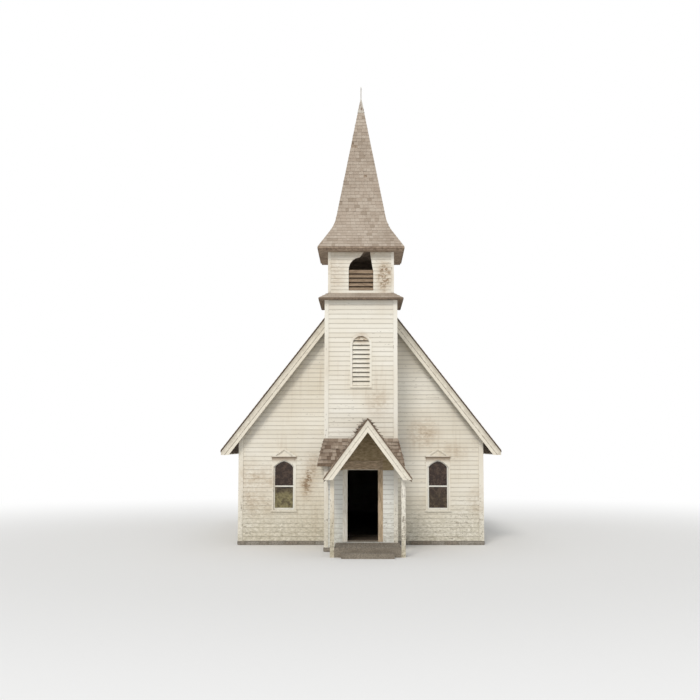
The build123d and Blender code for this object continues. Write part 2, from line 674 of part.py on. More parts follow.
# Steeple: a hollow square spire with a bell-cast foot
with BuildPart() as steeple_roof:
    add(
        square_block(
            (STEEPLE_EAVE, CORNICE_TOP),
            (STEEPLE_EAVE, CORNICE_TOP + STEEPLE_LIP),
            (STEEPLE_BREAK, STEEPLE_BREAK_HEIGHT),
            (STEEPLE_TIP, STEEPLE_FLAT),
            radius=STEEPLE_CURVE,
        )
    )
    add(
        square_block(
            (STEEPLE_EAVE - 2 * STEEPLE_SKIN, CORNICE_TOP),
            (STEEPLE_BREAK - STEEPLE_SKIN, STEEPLE_BREAK_HEIGHT),
            (STEEPLE_TIP / 4, STEEPLE_FLAT - STEEPLE_SKIN),
            radius=STEEPLE_CURVE,
        ),
        mode=Mode.SUBTRACT,
    )
write(steeple_roof, "steeple_roof")

# A square metal cap over the tip, with a pointed rod on it
with BuildPart() as steeple_finial:
    add(square_block((STEEPLE_TIP + CAP_LIP, STEEPLE_FLAT), (FINIAL_ROD, CAP_TOP)))
    with BuildSketch(cross_section(TOWER_AXIS)):
        with BuildLine():
            Polyline(
                (0, CAP_TOP - FINIAL_POINT),
                (FINIAL_ROD, CAP_TOP - FINIAL_POINT),
                (FINIAL_ROD, FINIAL_TOP - FINIAL_POINT),
                (0, FINIAL_TOP),
                close=True,
            )
        make_face()
    revolve(axis=Axis((0, TOWER_AXIS, 0), (0, 0, 1)))
write(steeple_finial, "steeple_finial")

# Porch: two posts and side beams carry a steep gabled roof against the tower
with BuildPart() as porch_posts:
    with Locations((PORCH_X - POST_X, POST_FRONT), (PORCH_X + POST_X, POST_FRONT)):
        Box(POST_SIZE, POST_SIZE, BEAM_FOOT, align=STANDING)
write(porch_posts, "porch_posts")

with BuildPart() as porch_beams:
    with BuildSketch(cross_section(POST_FRONT - POST_SIZE / 2, PORCH_X)):
        near, far = POST_X - POST_SIZE / 2, POST_X + POST_SIZE / 2
        add(
            outline(
                (near, BEAM_FOOT),
                (near, porch_line(near, PORCH_ROOF_THICKNESS)),
                (far, porch_line(far, PORCH_ROOF_THICKNESS)),
                (far, BEAM_FOOT),
            )
        )
        mirror(about=Plane.YZ)
    extrude(amount=POST_FRONT - POST_SIZE / 2 - TOWER_FRONT)
    add(tower_corner_boards.part, mode=Mode.SUBTRACT)
write(porch_beams, "porch_beams")

for name, side in (("left", -1), ("right", 1)):
    with BuildPart() as porch_slope:
        with BuildSketch(cross_section(PORCH_EDGE - DRIP, PORCH_X)):
            add(slope_band(porch_line, side, 0, PORCH_REACH, 0, PORCH_COVERING))
        extrude(amount=PORCH_EDGE - DRIP - TOWER_FRONT)
        with BuildSketch(cross_section(PORCH_EDGE + EDGE_BOARD, PORCH_X)):
            add(slope_band(porch_line, side, 0, PORCH_REACH - DRIP, PORCH_COVERING, PORCH_ROOF_THICKNESS))
        extrude(amount=PORCH_EDGE + EDGE_BOARD - TOWER_FRONT)
        add(tower_corner_boards.part, mode=Mode.SUBTRACT)
    write(porch_slope, f"porch_{name}_roof")

with BuildPart() as porch_rake_boards:
    with BuildSketch(cross_section(PORCH_EDGE, PORCH_X)):
        for side in (-1, 1):
            lower = PORCH_COVERING + PORCH_RAKE_DEPTH
            add(slope_band(porch_line, side, 0, PORCH_REACH - DRIP, PORCH_COVERING, lower))
        with Locations((0, PORCH_RAKE_FOOT)):
            Rectangle(3 * PORCH_REACH, PORCH_RAKE_FOOT, align=DOWNWARDS, mode=Mode.SUBTRACT)
    extrude(amount=-EDGE_BOARD)
write(porch_rake_boards, "porch_rake_boards")

# Porch floor on sleepers, with one step
deck_half = POST_X - POST_SIZE / 2
deck_front = POST_FRONT - POST_SIZE / 2
deck_back = TOWER_FRONT - TRIM
deck_foot = PORCH_FLOOR_LEVEL - PORCH_FLOOR_THICKNESS
with BuildPart() as porch_floor:
    with Locations((PORCH_X, deck_front, deck_foot)):
        Box(2 * deck_half, deck_back - deck_front, PORCH_FLOOR_THICKNESS, align=BACKWARDS)
write(porch_floor, "porch_floor")

sleeper_x = deck_half - SLEEPER / 2
with BuildPart() as porch_sleepers:
    with Locations((PORCH_X, deck_front, 0)):
        Box(2 * deck_half, SLEEPER, deck_foot, align=BACKWARDS)
        with Locations((-sleeper_x, SLEEPER, 0), (0, SLEEPER, 0), (sleeper_x, SLEEPER, 0)):
            Box(SLEEPER, deck_back - deck_front - SLEEPER, deck_foot, align=BACKWARDS)
write(porch_sleepers, "porch_sleepers")

with BuildPart() as porch_step:
    with Locations((PORCH_X, deck_front, 0)):
        Box(STEP_WIDTH, STEP_GOING, STEP_HEIGHT, align=FORWARDS)
write(porch_step, "porch_step")
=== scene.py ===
"""The looks of a small weathered timber chapel: clapboards, shingles, stones, glass and their finishes.

Metres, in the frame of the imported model: +Z up, the front towards -Y, the ground at zero.
"""

import itertools
import math
import random

import bmesh
import bpy
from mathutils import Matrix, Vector


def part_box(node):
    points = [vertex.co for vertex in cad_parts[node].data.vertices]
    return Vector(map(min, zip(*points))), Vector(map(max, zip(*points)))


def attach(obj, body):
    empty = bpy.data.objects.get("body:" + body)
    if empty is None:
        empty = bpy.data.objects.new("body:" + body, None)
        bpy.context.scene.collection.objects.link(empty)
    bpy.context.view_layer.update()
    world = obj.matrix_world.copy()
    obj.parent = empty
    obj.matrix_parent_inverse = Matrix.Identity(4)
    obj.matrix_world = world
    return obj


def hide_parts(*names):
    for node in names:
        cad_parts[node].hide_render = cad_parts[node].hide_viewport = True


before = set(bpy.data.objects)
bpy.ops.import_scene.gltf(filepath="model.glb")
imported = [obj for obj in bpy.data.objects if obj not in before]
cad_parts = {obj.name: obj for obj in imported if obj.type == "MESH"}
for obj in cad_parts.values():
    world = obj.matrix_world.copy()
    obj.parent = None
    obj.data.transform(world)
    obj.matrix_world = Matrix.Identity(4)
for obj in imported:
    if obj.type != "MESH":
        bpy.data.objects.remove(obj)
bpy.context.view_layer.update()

# Walls and roofs, read off the frame
nave_low, nave_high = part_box("front_gable_wall")
HALF_NAVE = nave_high[0]
FOUNDATION_TOP = nave_low[2]
NAVE_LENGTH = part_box("back_gable_wall")[1][1]
tower_low, tower_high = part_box("tower_front_wall")
HALF_TOWER = tower_high[0]
TOWER_FRONT = tower_low[1]
TOWER_TOP = tower_high[2]
TOWER_AXIS = TOWER_FRONT / 2
belfry_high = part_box("belfry_front_wall")[1]
HALF_BELFRY = belfry_high[0]
BELFRY_TOP = belfry_high[2]
BELFRY_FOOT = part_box("belfry_skirt_roof")[1][2]
slope_low, slope_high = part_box("right_roof_slope")
EAVE_REACH = slope_high[0]
ROOF_FRONT, ROOF_BACK = slope_low[1], slope_high[1]
RIDGE_HEIGHT = slope_high[2]
porch_low, porch_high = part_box("porch_right_roof")
PORCH_X = porch_low[0]
PORCH_REACH = porch_high[0] - porch_low[0]
PORCH_FRONT = porch_low[1]
PORCH_RIDGE = porch_high[2]
skirt_low, skirt_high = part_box("belfry_skirt_roof")
lower_low, lower_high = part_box("lower_skirt_roof")
steeple_low, steeple_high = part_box("steeple_roof")
casing_low, casing_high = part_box("door_casing")

UP = Vector((0, 0, 1))

# Slopes and depths of the roofs
MAIN_SLOPE = 1.29
ROOF_PLUMB = 0.100 * math.hypot(1, MAIN_SLOPE)
PORCH_SLOPE = 1.35
PORCH_PLUMB = 0.070 * math.hypot(1, PORCH_SLOPE)
SKIRT_LIP = 0.035
STEEPLE_BREAK = 0.751
STEEPLE_BREAK_HEIGHT = 9.280
STEEPLE_TIP = 0.090
STEEPLE_CURVE = 1.2

# Trim and openings that the boards stop against
NAVE_TRIM_WIDTH = 0.110
TOWER_TRIM_WIDTH = 0.085
TOWER_TRIM_PROUD = 0.030
BELFRY_TRIM_WIDTH = 0.055
WINDOW_CASING_HALF = 0.355
WINDOW_FOOT = 0.990
SASH_MEETING = 1.73
HOOD_FOOT = 2.600
HOOD_HALF = 0.380
HOOD_RISE = 0.245
FRONT_WINDOW_X = 2.30
SIDE_WINDOW_PITCH = 3.30
LOUVRE_CASING_HALF = 0.295
LOUVRE_SPRING = 5.780
CASING_LAP = 0.006
ARCH_HALF = 0.350
ARCH_SILL = 7.340
ARCH_SPRING = 7.950
CROWN_LEFT = -0.03
CROWN_RIGHT = 0.335
CROWN_START = 0.7
CROWN_LEAN = 0.08

# Clapboards: their size, how they are cut, and how far each one is out of true
BOARD_EXPOSURE = 0.133
BELFRY_EXPOSURE = 0.112
BOARD_BUTT = 0.014
BOARD_TOP = 0.004
BOARD_LAP = 0.018
BOARD_LENGTHS = (1.5, 3.6)
UNCUT_LENGTH = 4.2
SPLIT_LENGTH = 2.6
SHORTEST_END = 0.9
NARROWEST_BOARD = 0.012
BUTT_GAP = 0.0011
SHORT_SPAN = 0.4
UNEVEN = 0.0011
WAVE_HEIGHT = 0.0009
WAVE_RATE = 2.7
RING_SPACING = 0.7
NOTCH_CLEARANCE = 0.004
HAIR = 0.001
TUCK = 0.02
PORCH_COURSES = 16
ARC_NOTCHES = (0.45, 0.75, 0.92, 1.0)
GRAIN_RANGE = (0, 40)

# Shingles: their size, how they are laid, and how far the worn ones lift and curl
MAIN_EXPOSURE = 0.135
SKIRT_EXPOSURE = 0.115
FINE_EXPOSURE = 0.105
SHINGLE_THICKNESS = 0.010
SHINGLE_GAP = 0.004
SHINGLE_HEAD = 0.0035
SHINGLE_BED = 0.0015
SHINGLE_COVER = 1.25
SHINGLE_WIDTHS = (0.085, 0.190)
FIRST_CUT = 0.06
LAST_WIDTH = 0.03
SLIVER = 0.01
TOWER_CLEARANCE = 0.05
CURL_PARTS = (0.0, 0.3, 0.65, 1.0)
BUTT_DROP = (-0.006, 0.004)
LIFT = 0.0012
RAGGED_LIFT = (0.0, 0.012)
NARROWEST_SHINGLE = 0.006
SHORTEST_SHINGLE = 0.02
HIP_LAP = 0.006
EDGE_KEEP = 0.012
CURL_HEIGHT = 0.13
CURL_FRONT = 0.45
GAP_RADIUS = 0.075

# Foundation stones
STONE_DEPTH = 0.11
STONE_PROUD = 0.022
STONE_WIDTHS = (0.22, 0.52)
NARROWEST_STONE = 0.18
STONE_JOINT = 0.012
COURSE_END = 0.02
STONE_CUTS = 5
SQUARE = ((0, 0), (1, 0), (1, 1), (0, 1))

# Places on the front where the steeple has lost shingles, and patches of rain stain on the walls, one of them
# painted shade under the steeple's eave, as (place, reach along each axis, strength)
STEEPLE_GAPS = ((-0.235, 11.75), (0.175, 10.80))
STAINS_AND_SHADE = (
    ((0.48, -2.0, 4.15), (0.55, 0.5, 0.60), 0.50),
    ((1.85, 0.0, 3.30), (0.75, 0.5, 0.70), 0.60),
    ((-3.35, 0.0, 1.90), (0.50, 0.6, 0.95), 0.55),
    ((-1.60, 0.0, 1.75), (0.42, 0.5, 0.65), 0.75),
    ((3.45, 0.0, 1.20), (0.40, 0.8, 0.80), 0.45),
    ((0.66, -1.9, 7.75), (0.36, 0.6, 0.85), 0.95),
    ((-0.75, -1.9, 7.80), (0.45, 0.5, 0.80), 0.55),
    # Painted shade: a band along the top of the belfry's front, under the steeple's eave
    ((0.0, -1.9, 8.55), (1.10, 0.6, 0.40), 0.65),
    ((0.0, -2.0, 5.95), (0.32, 0.5, 0.28), 0.70),
    ((-3.05, 0.0, 1.15), (0.80, 0.5, 0.60), 0.50),
    ((-2.75, 0.0, 1.95), (0.60, 0.5, 0.55), 0.55),
    ((-1.45, 0.0, 2.30), (0.45, 0.5, 0.60), 0.60),
    ((2.75, 0.0, 2.75), (0.75, 0.5, 0.45), 0.45),
    ((-2.10, 11.0, 4.60), (0.90, 0.5, 1.00), 0.50),
    ((1.70, 11.0, 2.90), (0.70, 0.5, 0.80), 0.55),
    ((3.6, 4.2, 1.00), (0.5, 1.10, 0.70), 0.55),
    ((3.6, 8.6, 2.10), (0.5, 0.80, 0.70), 0.50),
    ((-3.6, 3.0, 1.40), (0.5, 1.30, 0.80), 0.50),
    ((-3.6, 7.4, 2.20), (0.5, 0.90, 0.60), 0.55),
    ((1.0, -1.0, 5.20), (0.5, 0.60, 0.80), 0.45),
    ((-1.0, -1.1, 4.40), (0.5, 0.60, 0.90), 0.45),
)


def placed(name, data):
    """A new object in the scene."""
    thing = bpy.data.objects.new(name, data)
    bpy.context.scene.collection.objects.link(thing)
    return thing


class Batch:
    """Many small closed shapes in one mesh, each with its own shade and its own place in the grain.

    A point's rise is 0 at the thick lower edge of its board or shingle and 1 at the covered upper edge.
    """

    def __init__(self):
        self.points = []
        self.faces = []
        self.shades = []
        self.places = []
        self.rises = []

    def strip(self, rings, rises, shade, place):
        """A closed strip of square section through rings of four corners, with a rise for each corner."""
        first = len(self.points)
        last = first + 4 * (len(rings) - 1)
        for ring, rise in zip(rings, rises):
            self.points.extend(ring)
            self.rises.extend(rise)
        faces = [(first, first + 1, first + 2, first + 3), (last + 3, last + 2, last + 1, last)]
        for here in range(first, last, 4):
            for corner in range(4):
                after = (corner + 1) % 4
                faces.append((here + corner, here + 4 + corner, here + 4 + after, here + after))
        self.faces.extend(faces)
        self.shades.extend([shade] * len(faces))
        self.places.extend([place] * len(faces))

    def build(self, name, material):
        """The shapes as one piece that stands still on the building."""
        mesh = bpy.data.meshes.new(name)
        mesh.from_pydata([tuple(point) for point in self.points], [], self.faces)
        shell = bmesh.new()
        shell.from_mesh(mesh)
        bmesh.ops.recalc_face_normals(shell, faces=shell.faces)
        shell.to_mesh(mesh)
        shell.free()
        piece = placed(name, mesh)
        mesh.materials.append(material)
        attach(piece, "root")
        for key, values in (("shade", self.shades), ("place", self.places)):
            piece.data.attributes.new(key, "FLOAT", "FACE").data.foreach_set("value", values)
        if self.rises:
            piece.data.attributes.new("rise", "FLOAT", "POINT").data.foreach_set("value", self.rises)
        return piece


# Materials


class Shader:
    """Short ways to add nodes to a material."""

    def __init__(self, name):
        self.material = bpy.data.materials.new(name)
        self.material.use_nodes = True
        self.tree = self.material.node_tree
        self.surface = self.tree.nodes["Principled BSDF"]
        self.position = self.tree.nodes.new("ShaderNodeNewGeometry").outputs["Position"]

    def link(self, source, target):
        self.tree.links.new(source, target)

    def feed(self, socket, value):
        """Links a socket, or sets its value."""
        if isinstance(value, bpy.types.NodeSocket):
            self.link(value, socket)
        elif socket.type == "RGBA":
            socket.default_value = (*value, 1.0)
        else:
            socket.default_value = value

    def node(self, kind, values, **settings):
        """The outputs of a new node, whose inputs are given in turn, or by name or number in a dictionary."""
        made = self.tree.nodes.new("ShaderNode" + kind)
        for key, setting in settings.items():
            setattr(made, key, setting)
        for key, value in values.items() if isinstance(values, dict) else enumerate(values):
            self.feed(made.inputs[key], value)
        return made.outputs

    def maths(self, operation, *values):
        return self.node("Math", values, operation=operation)[0]

    def times(self, first, second):
        return self.maths("MULTIPLY", first, second)

    def attribute(self, name):
        return self.node("Attribute", (), attribute_name=name)["Fac"]

    def axis(self, name):
        """The place along one axis."""
        return self.node("SeparateXYZ", (self.position,))[name]

    def vector(self, operation, first, second):
        """A vector sum on two values."""
        return self.node("VectorMath", (first, second), operation=operation)[0]

    def combined(self, *values):
        """A vector of the given values."""
        return self.node("CombineXYZ", values)[0]

    def distance(self, value, mark):
        """How far a value is from a mark."""
        return self.maths("ABSOLUTE", self.maths("SUBTRACT", value, mark))

    def length(self, vector):
        return self.node("VectorMath", (vector,), operation="LENGTH")["Value"]

    def noise(self, vector, detail, roughness=0.55):
        values = {"Vector": vector, "Scale": 1.0, "Detail": detail, "Roughness": roughness}
        return self.node("TexNoise", values)["Fac"]

    def pattern(self, scale, detail, roughness=0.55, place=None):
        """Noise with its own scale along each axis, shifted for each board where a place is given."""
        scaled = self.vector("MULTIPLY", self.position, scale)
        return self.noise(scaled if place is None else self.vector("ADD", scaled, place), detail, roughness)

    def between(self, value, low, high):
        """A soft step from 0 to 1 as a value goes from low to high."""
        return self.node("MapRange", (value, low, high), interpolation_type="SMOOTHSTEP")[0]

    def mix(self, share, first, second):
        return self.node("Mix", {0: share, 6: first, 7: second}, data_type="RGBA")[2]

    def bump(self, height, distance, strength):
        values = {"Height": height, "Distance": distance, "Strength": strength}
        self.link(self.node("Bump", values)[0], self.surface.inputs["Normal"])

    def finish(self, colour, roughness):
        self.feed(self.surface.inputs["Base Color"], colour)
        self.feed(self.surface.inputs["Roughness"], roughness)
        return self.material


# Colours, the tones of a coat of paint as (light, base, dull), and the scale of its grain
PAINT = (0.80, 0.745, 0.630)
PAINT_LIGHT = (0.86, 0.825, 0.735)
PAINT_DULL = (0.69, 0.63, 0.51)
PAINT_COOL = (0.80, 0.80, 0.745)
PAINT_LIT = (0.90, 0.895, 0.84)
STAIN_AND_SHADE = (0.42, 0.29, 0.16)
DEEP_STAIN_AND_SHADE = (0.24, 0.155, 0.085)
GRIME = (0.27, 0.235, 0.125)
LAP_SHADE = (0.30, 0.26, 0.20)
BARE_WOOD = (0.36, 0.30, 0.23)
BARE_DARK = (0.16, 0.125, 0.09)
SHINGLE = (0.455, 0.375, 0.300)
SHINGLE_PALE = (0.52, 0.445, 0.365)
SHINGLE_DARK = (0.31, 0.245, 0.185)
SHINGLE_BUTT_SHADE = (0.15, 0.11, 0.08)
OLD_SHINGLE = (0.27, 0.205, 0.15)
OLD_SHINGLE_PALE = (0.46, 0.38, 0.30)
OLD_SHINGLE_DARK = (0.15, 0.10, 0.068)
# Brown of the door casing's bare wood, made lighter as painted light to offset the shade under the porch roof
DOOR_BROWN = (0.64, 0.50, 0.34)
DOOR_DARK = (0.30, 0.22, 0.145)
RAKE_GREY = (0.52, 0.475, 0.39)
OLD_PAINT = (PAINT_LIGHT, PAINT, PAINT_DULL)
# Tones of the paint under the porch roof, lighter as painted light
PORCH_LIT_TONES = (PAINT_LIT, PAINT_COOL, PAINT_COOL)
BOARD_GRAIN = (5.0, 5.0, 60.0)
TRIM_GRAIN = (45.0, 45.0, 4.0)


def stained_and_shaded(shader, tone, clouds, specks):
    """Rain stains, and painted shade under the steeple's eave, in the listed places, broken up by noise."""
    total = None
    for place, reach, strength in STAINS_AND_SHADE:
        away = shader.vector("SUBTRACT", shader.position, place)
        away = shader.vector("DIVIDE", away, reach)
        near = shader.between(shader.length(away), 1.0, 0.15)
        patch = shader.times(near, strength)
        total = patch if total is None else shader.maths("ADD", total, patch)
    broken = shader.maths("ADD", shader.times(clouds, 0.9), shader.times(specks, 1.1))
    total = shader.times(total, shader.between(broken, 0.62, 1.30))
    tone = shader.mix(total, tone, STAIN_AND_SHADE)
    return shader.mix(shader.between(total, 0.45, 0.80), tone, DEEP_STAIN_AND_SHADE)


def painted(name, tones, grain, flake, dirt, boards=False, shadow_under_hood=False):
    """Old oil paint: grain and cracks, flakes off to bare wood, rain stains, dirt from the ground up, and
    painted shade at board laps, under a window hood and under the steeple's eave.
    """
    light, base, dull = tones
    shader = Shader(name)
    place = shader.attribute("place")
    fibres = shader.pattern(grain, 6.0, 0.65, place)
    clouds = shader.pattern((0.55, 0.55, 0.55), 3.0)
    rain = shader.pattern((7.0, 7.0, 0.55), 4.0, 0.6)
    specks = shader.pattern((11.0, 11.0, 18.0), 5.0, 0.7, place)
    height = shader.axis("Z")
    tone = shader.mix(shader.between(clouds, 0.33, 0.66), base, light)
    if boards:
        tone = shader.mix(shader.times(shader.attribute("shade"), 0.42), tone, dull)
    streaks = shader.times(shader.between(rain, 0.48, 0.76), shader.between(clouds, 0.62, 0.30))
    tone = shader.mix(shader.times(streaks, 0.30), tone, STAIN_AND_SHADE)
    tone = stained_and_shaded(shader, tone, shader.pattern((2.6, 2.6, 2.6), 3.0), specks)
    # Painted shadow: a dark band just under the hood of a window casing
    if shadow_under_hood:
        below = shader.between(height, HOOD_FOOT - 0.20, HOOD_FOOT - 0.02)
        hood_shadow = shader.times(below, shader.between(height, HOOD_FOOT + 0.02, HOOD_FOOT))
        tone = shader.mix(shader.times(hood_shadow, 0.8), tone, DEEP_STAIN_AND_SHADE)
    low = shader.between(height, 1.9, 0.10)
    spatter = shader.times(low, shader.between(specks, 0.22, 0.70))
    tone = shader.mix(shader.times(spatter, dirt), tone, GRIME)
    lost = shader.maths("ADD", fibres, shader.times(specks, 0.55))
    lost = shader.maths("ADD", lost, shader.times(low, 0.055))
    lost = shader.maths("ADD", lost, shader.times(clouds, 0.25))
    bare = shader.between(lost, flake, flake + 0.05)
    wood = shader.mix(shader.between(fibres, 0.35, 0.65), BARE_WOOD, BARE_DARK)
    tone = shader.mix(shader.times(bare, 0.72), tone, wood)
    # Painted shade along each lap: dark at a board's butt and just below the butt of the board above
    if boards:
        rise = shader.attribute("rise")
        lap_shade = shader.maths("MAXIMUM", shader.between(rise, 0.085, 0.0), shader.between(rise, 0.78, 0.90))
        tone = shader.mix(shader.times(lap_shade, 0.34), tone, LAP_SHADE)
    relief = shader.maths("SUBTRACT", shader.times(fibres, 0.6), shader.times(bare, 0.5))
    shader.bump(relief, 0.0025, 0.7)
    return shader.finish(tone, shader.between(bare, -0.9, 1.6))


def weathered_wood(name, pale, dark, grain):
    """Bare boards, grey-brown, with open grain."""
    shader = Shader(name)
    place = shader.attribute("place")
    fibres = shader.pattern(grain, 7.0, 0.7, place)
    clouds = shader.pattern((2.0, 2.0, 2.0), 3.0, place=place)
    tone = shader.mix(shader.between(fibres, 0.30, 0.70), dark, pale)
    tone = shader.mix(shader.times(shader.between(clouds, 0.45, 0.75), 0.5), tone, dark)
    shader.bump(fibres, 0.003, 0.8)
    return shader.finish(tone, 0.9)


def shingles(name, pale, base, dark):
    """Split wood shingles, each in its own shade, darker in its grain and under the moss, with painted shade
    at its butt.
    """
    shader = Shader(name)
    place = shader.attribute("place")
    each = shader.attribute("shade")
    fibres = shader.pattern((34.0, 34.0, 7.0), 5.0, 0.7, place)
    clouds = shader.pattern((0.9, 0.9, 0.9), 5.0, 0.6)
    tone = shader.mix(shader.between(each, 0.15, 1.0), base, pale)
    tone = shader.mix(shader.times(shader.between(each, 0.16, 0.0), 0.7), tone, dark)
    tone = shader.mix(shader.times(shader.between(clouds, 0.44, 0.70), 0.6), tone, dark)
    tone = shader.mix(shader.times(shader.between(fibres, 0.46, 0.74), 0.55), tone, dark)
    # Painted shade at each shingle's butt
    lap_shade = shader.between(shader.attribute("rise"), 0.10, 0.0)
    tone = shader.mix(shader.times(lap_shade, 0.5), tone, SHINGLE_BUTT_SHADE)
    shader.bump(fibres, 0.004, 0.8)
    return shader.finish(tone, 0.92)


def stone(name):
    """Field stones, grey and tan."""
    shader = Shader(name)
    each = shader.attribute("shade")
    fine = shader.pattern((22.0, 22.0, 22.0), 8.0, 0.7)
    tone = shader.mix(each, (0.36, 0.34, 0.30), (0.24, 0.20, 0.155))
    tone = shader.mix(shader.between(fine, 0.42, 0.70), tone, (0.13, 0.115, 0.09))
    shader.bump(fine, 0.006, 0.9)
    return shader.finish(tone, 0.93)


def iron(name):
    """Old whitewashed iron with rust through it."""
    shader = Shader(name)
    rust = shader.pattern((25.0, 25.0, 9.0), 6.0, 0.7)
    tone = shader.mix(shader.between(rust, 0.45, 0.62), (0.55, 0.51, 0.44), (0.16, 0.085, 0.05))
    return shader.finish(tone, 0.75)


def glass(name):
    """Opaque panes, their darkness painted shade of the room behind; a little wavy, dusty, greenish on the
    lower ones.
    """
    shader = Shader(name)
    wave = shader.pattern((3.5, 3.5, 3.5), 2.0)
    dust = shader.pattern((9.0, 9.0, 9.0), 5.0, 0.65)
    # A greenish tint on the lower panes, strongest towards -X
    green_side = shader.between(shader.axis("X"), 1.5, -1.5)
    below = shader.between(shader.axis("Z"), SASH_MEETING + 0.05, WINDOW_FOOT + 0.40)
    green_tint = shader.times(below, shader.maths("ADD", 0.12, shader.times(green_side, 0.88)))
    green_tint = shader.times(green_tint, shader.between(dust, 0.22, 0.62))
    # Painted shade: the panes are opaque and dark in place of the dark room behind them
    tone = shader.mix(shader.between(dust, 0.40, 0.72), (0.030, 0.016, 0.011), (0.085, 0.055, 0.038))
    tone = shader.mix(green_tint, tone, (0.235, 0.205, 0.10))
    shader.surface.inputs["Specular IOR Level"].default_value = 0.35
    shader.bump(wave, 0.01, 0.25)
    return shader.finish(tone, shader.between(dust, -0.35, 2.2))


def raked(name, ridge_x, ridge, slope, upper, lower, wear):
    """Rake boards: grey and worn along their upper part, a dark groove, and a paler moulding below it."""
    shader = Shader(name)
    away = shader.distance(shader.axis("X"), ridge_x)
    roof_line = shader.maths("SUBTRACT", ridge, shader.times(away, slope))
    drop = shader.maths("SUBTRACT", roof_line, shader.axis("Z"))
    depth = shader.maths("DIVIDE", drop, math.hypot(1, slope))
    along = shader.pattern((3.0, 3.0, 3.0), 6.0, 0.7)
    specks = shader.pattern((15.0, 15.0, 15.0), 5.0, 0.7)
    strands = shader.noise(shader.combined(shader.times(depth, 60.0), along), 3.0)
    worn = shader.mix(shader.between(strands, 0.40, 0.62), PAINT_DULL, BARE_WOOD)
    worn = shader.mix(shader.between(along, 0.40, 0.62), PAINT, worn)
    tone = shader.mix(wear, PAINT, worn)
    top = shader.between(depth, upper + 0.03, upper)
    tone = shader.mix(shader.times(top, wear), tone, RAKE_GREY)
    groove = shader.maths("SUBTRACT", 1.0, shader.between(shader.distance(depth, lower), 0.004, 0.016))
    tone = shader.mix(shader.between(depth, lower, lower + 0.02), tone, PAINT)
    groove = shader.times(groove, shader.between(specks, 0.30, 0.55))
    tone = shader.mix(shader.times(groove, wear + 0.2), tone, BARE_DARK)
    chips = shader.times(shader.between(specks, 0.56, 0.66), 0.5)
    tone = shader.mix(chips, tone, BARE_WOOD)
    shader.bump(strands, 0.003, 0.6)
    return shader.finish(tone, 0.7)


def door_frame(name):
    """The doorway's casing: paint left on its left board, bare brown wood on its head and right board."""
    shader = Shader(name)
    fibres = shader.pattern((42.0, 42.0, 5.0), 6.0, 0.7)
    across = shader.pattern((6.0, 6.0, 42.0), 6.0, 0.7)
    head = shader.between(shader.axis("Z"), casing_high[2] - 0.27, casing_high[2] - 0.23)
    right_board = shader.between(shader.axis("X"), casing_high[0] - 0.20, casing_high[0] - 0.12)
    bare = shader.maths("MAXIMUM", head, right_board)
    paint = shader.mix(shader.between(fibres, 0.40, 0.66), PAINT_LIGHT, PAINT_DULL)
    grain = shader.mix(head, fibres, across)
    wood = shader.mix(shader.between(grain, 0.36, 0.64), DOOR_BROWN, DOOR_DARK)
    shader.bump(fibres, 0.003, 0.8)
    return shader.finish(shader.mix(bare, paint, wood), 0.85)


CLAPBOARD = painted("clapboard_paint", OLD_PAINT, BOARD_GRAIN, 1.07, 0.62, boards=True)
# Painted light: a brighter, bluish copy of the old paint for the wall under the porch roof, to offset its
# shade
PORCH_LIT_PAINT = painted("porch_lit_paint", PORCH_LIT_TONES, BOARD_GRAIN, 1.07, 0.4, boards=True)
TRIM = painted("trim_paint", OLD_PAINT, TRIM_GRAIN, 1.06, 0.5)
CASING_PAINT = painted("casing_paint", OLD_PAINT, TRIM_GRAIN, 1.06, 0.5, shadow_under_hood=True)
COOL_TRIM = painted("sash_paint", (PAINT_LIGHT, PAINT_COOL, PAINT_DULL), TRIM_GRAIN, 1.04, 0.3)
RAKE_PAINT = painted("rake_paint", (PAINT, PAINT_DULL, PAINT_DULL), (9.0, 9.0, 9.0), 1.02, 0.0)
MAIN_RAKE = raked("main_rake_paint", 0.0, RIDGE_HEIGHT, MAIN_SLOPE, 0.085, 0.175, 0.55)
PORCH_RAKE = raked("porch_rake_paint", PORCH_X, PORCH_RIDGE, PORCH_SLOPE, 0.055, 0.130, 0.25)
POST_PAINT = painted("post_paint", (PAINT_LIGHT, PAINT_DULL, PAINT_DULL), (50.0, 50.0, 4.0), 0.98, 0.7)
DOOR_FRAME = door_frame("door_frame")
LOUVRE_WOOD = weathered_wood("louvre_timber", (0.43, 0.32, 0.22), (0.19, 0.13, 0.082), (6.0, 6.0, 60.0))
TYMPANUM_WOOD = weathered_wood("tympanum_timber", (0.66, 0.53, 0.33), (0.33, 0.245, 0.135), (9.0, 9.0, 24.0))
# Inside floors and the belfry's inner walls: old timber coloured dark as painted shade inside the building
SHADED_INNER_TIMBER = weathered_wood("inner_timber_painted_shade", (0.20, 0.15, 0.105), (0.08, 0.058, 0.04), (4.0, 4.0, 30.0))
PLASTER = weathered_wood("inner_plaster", (0.60, 0.55, 0.46), (0.42, 0.37, 0.29), (2.0, 2.0, 2.0))
# Undersides of the main roof: brown boards coloured near black as painted shade under the eaves
EAVE_SHADE_TIMBER = weathered_wood("eave_shade_timber", (0.13, 0.088, 0.058), (0.05, 0.034, 0.022), (25.0, 2.5, 25.0))
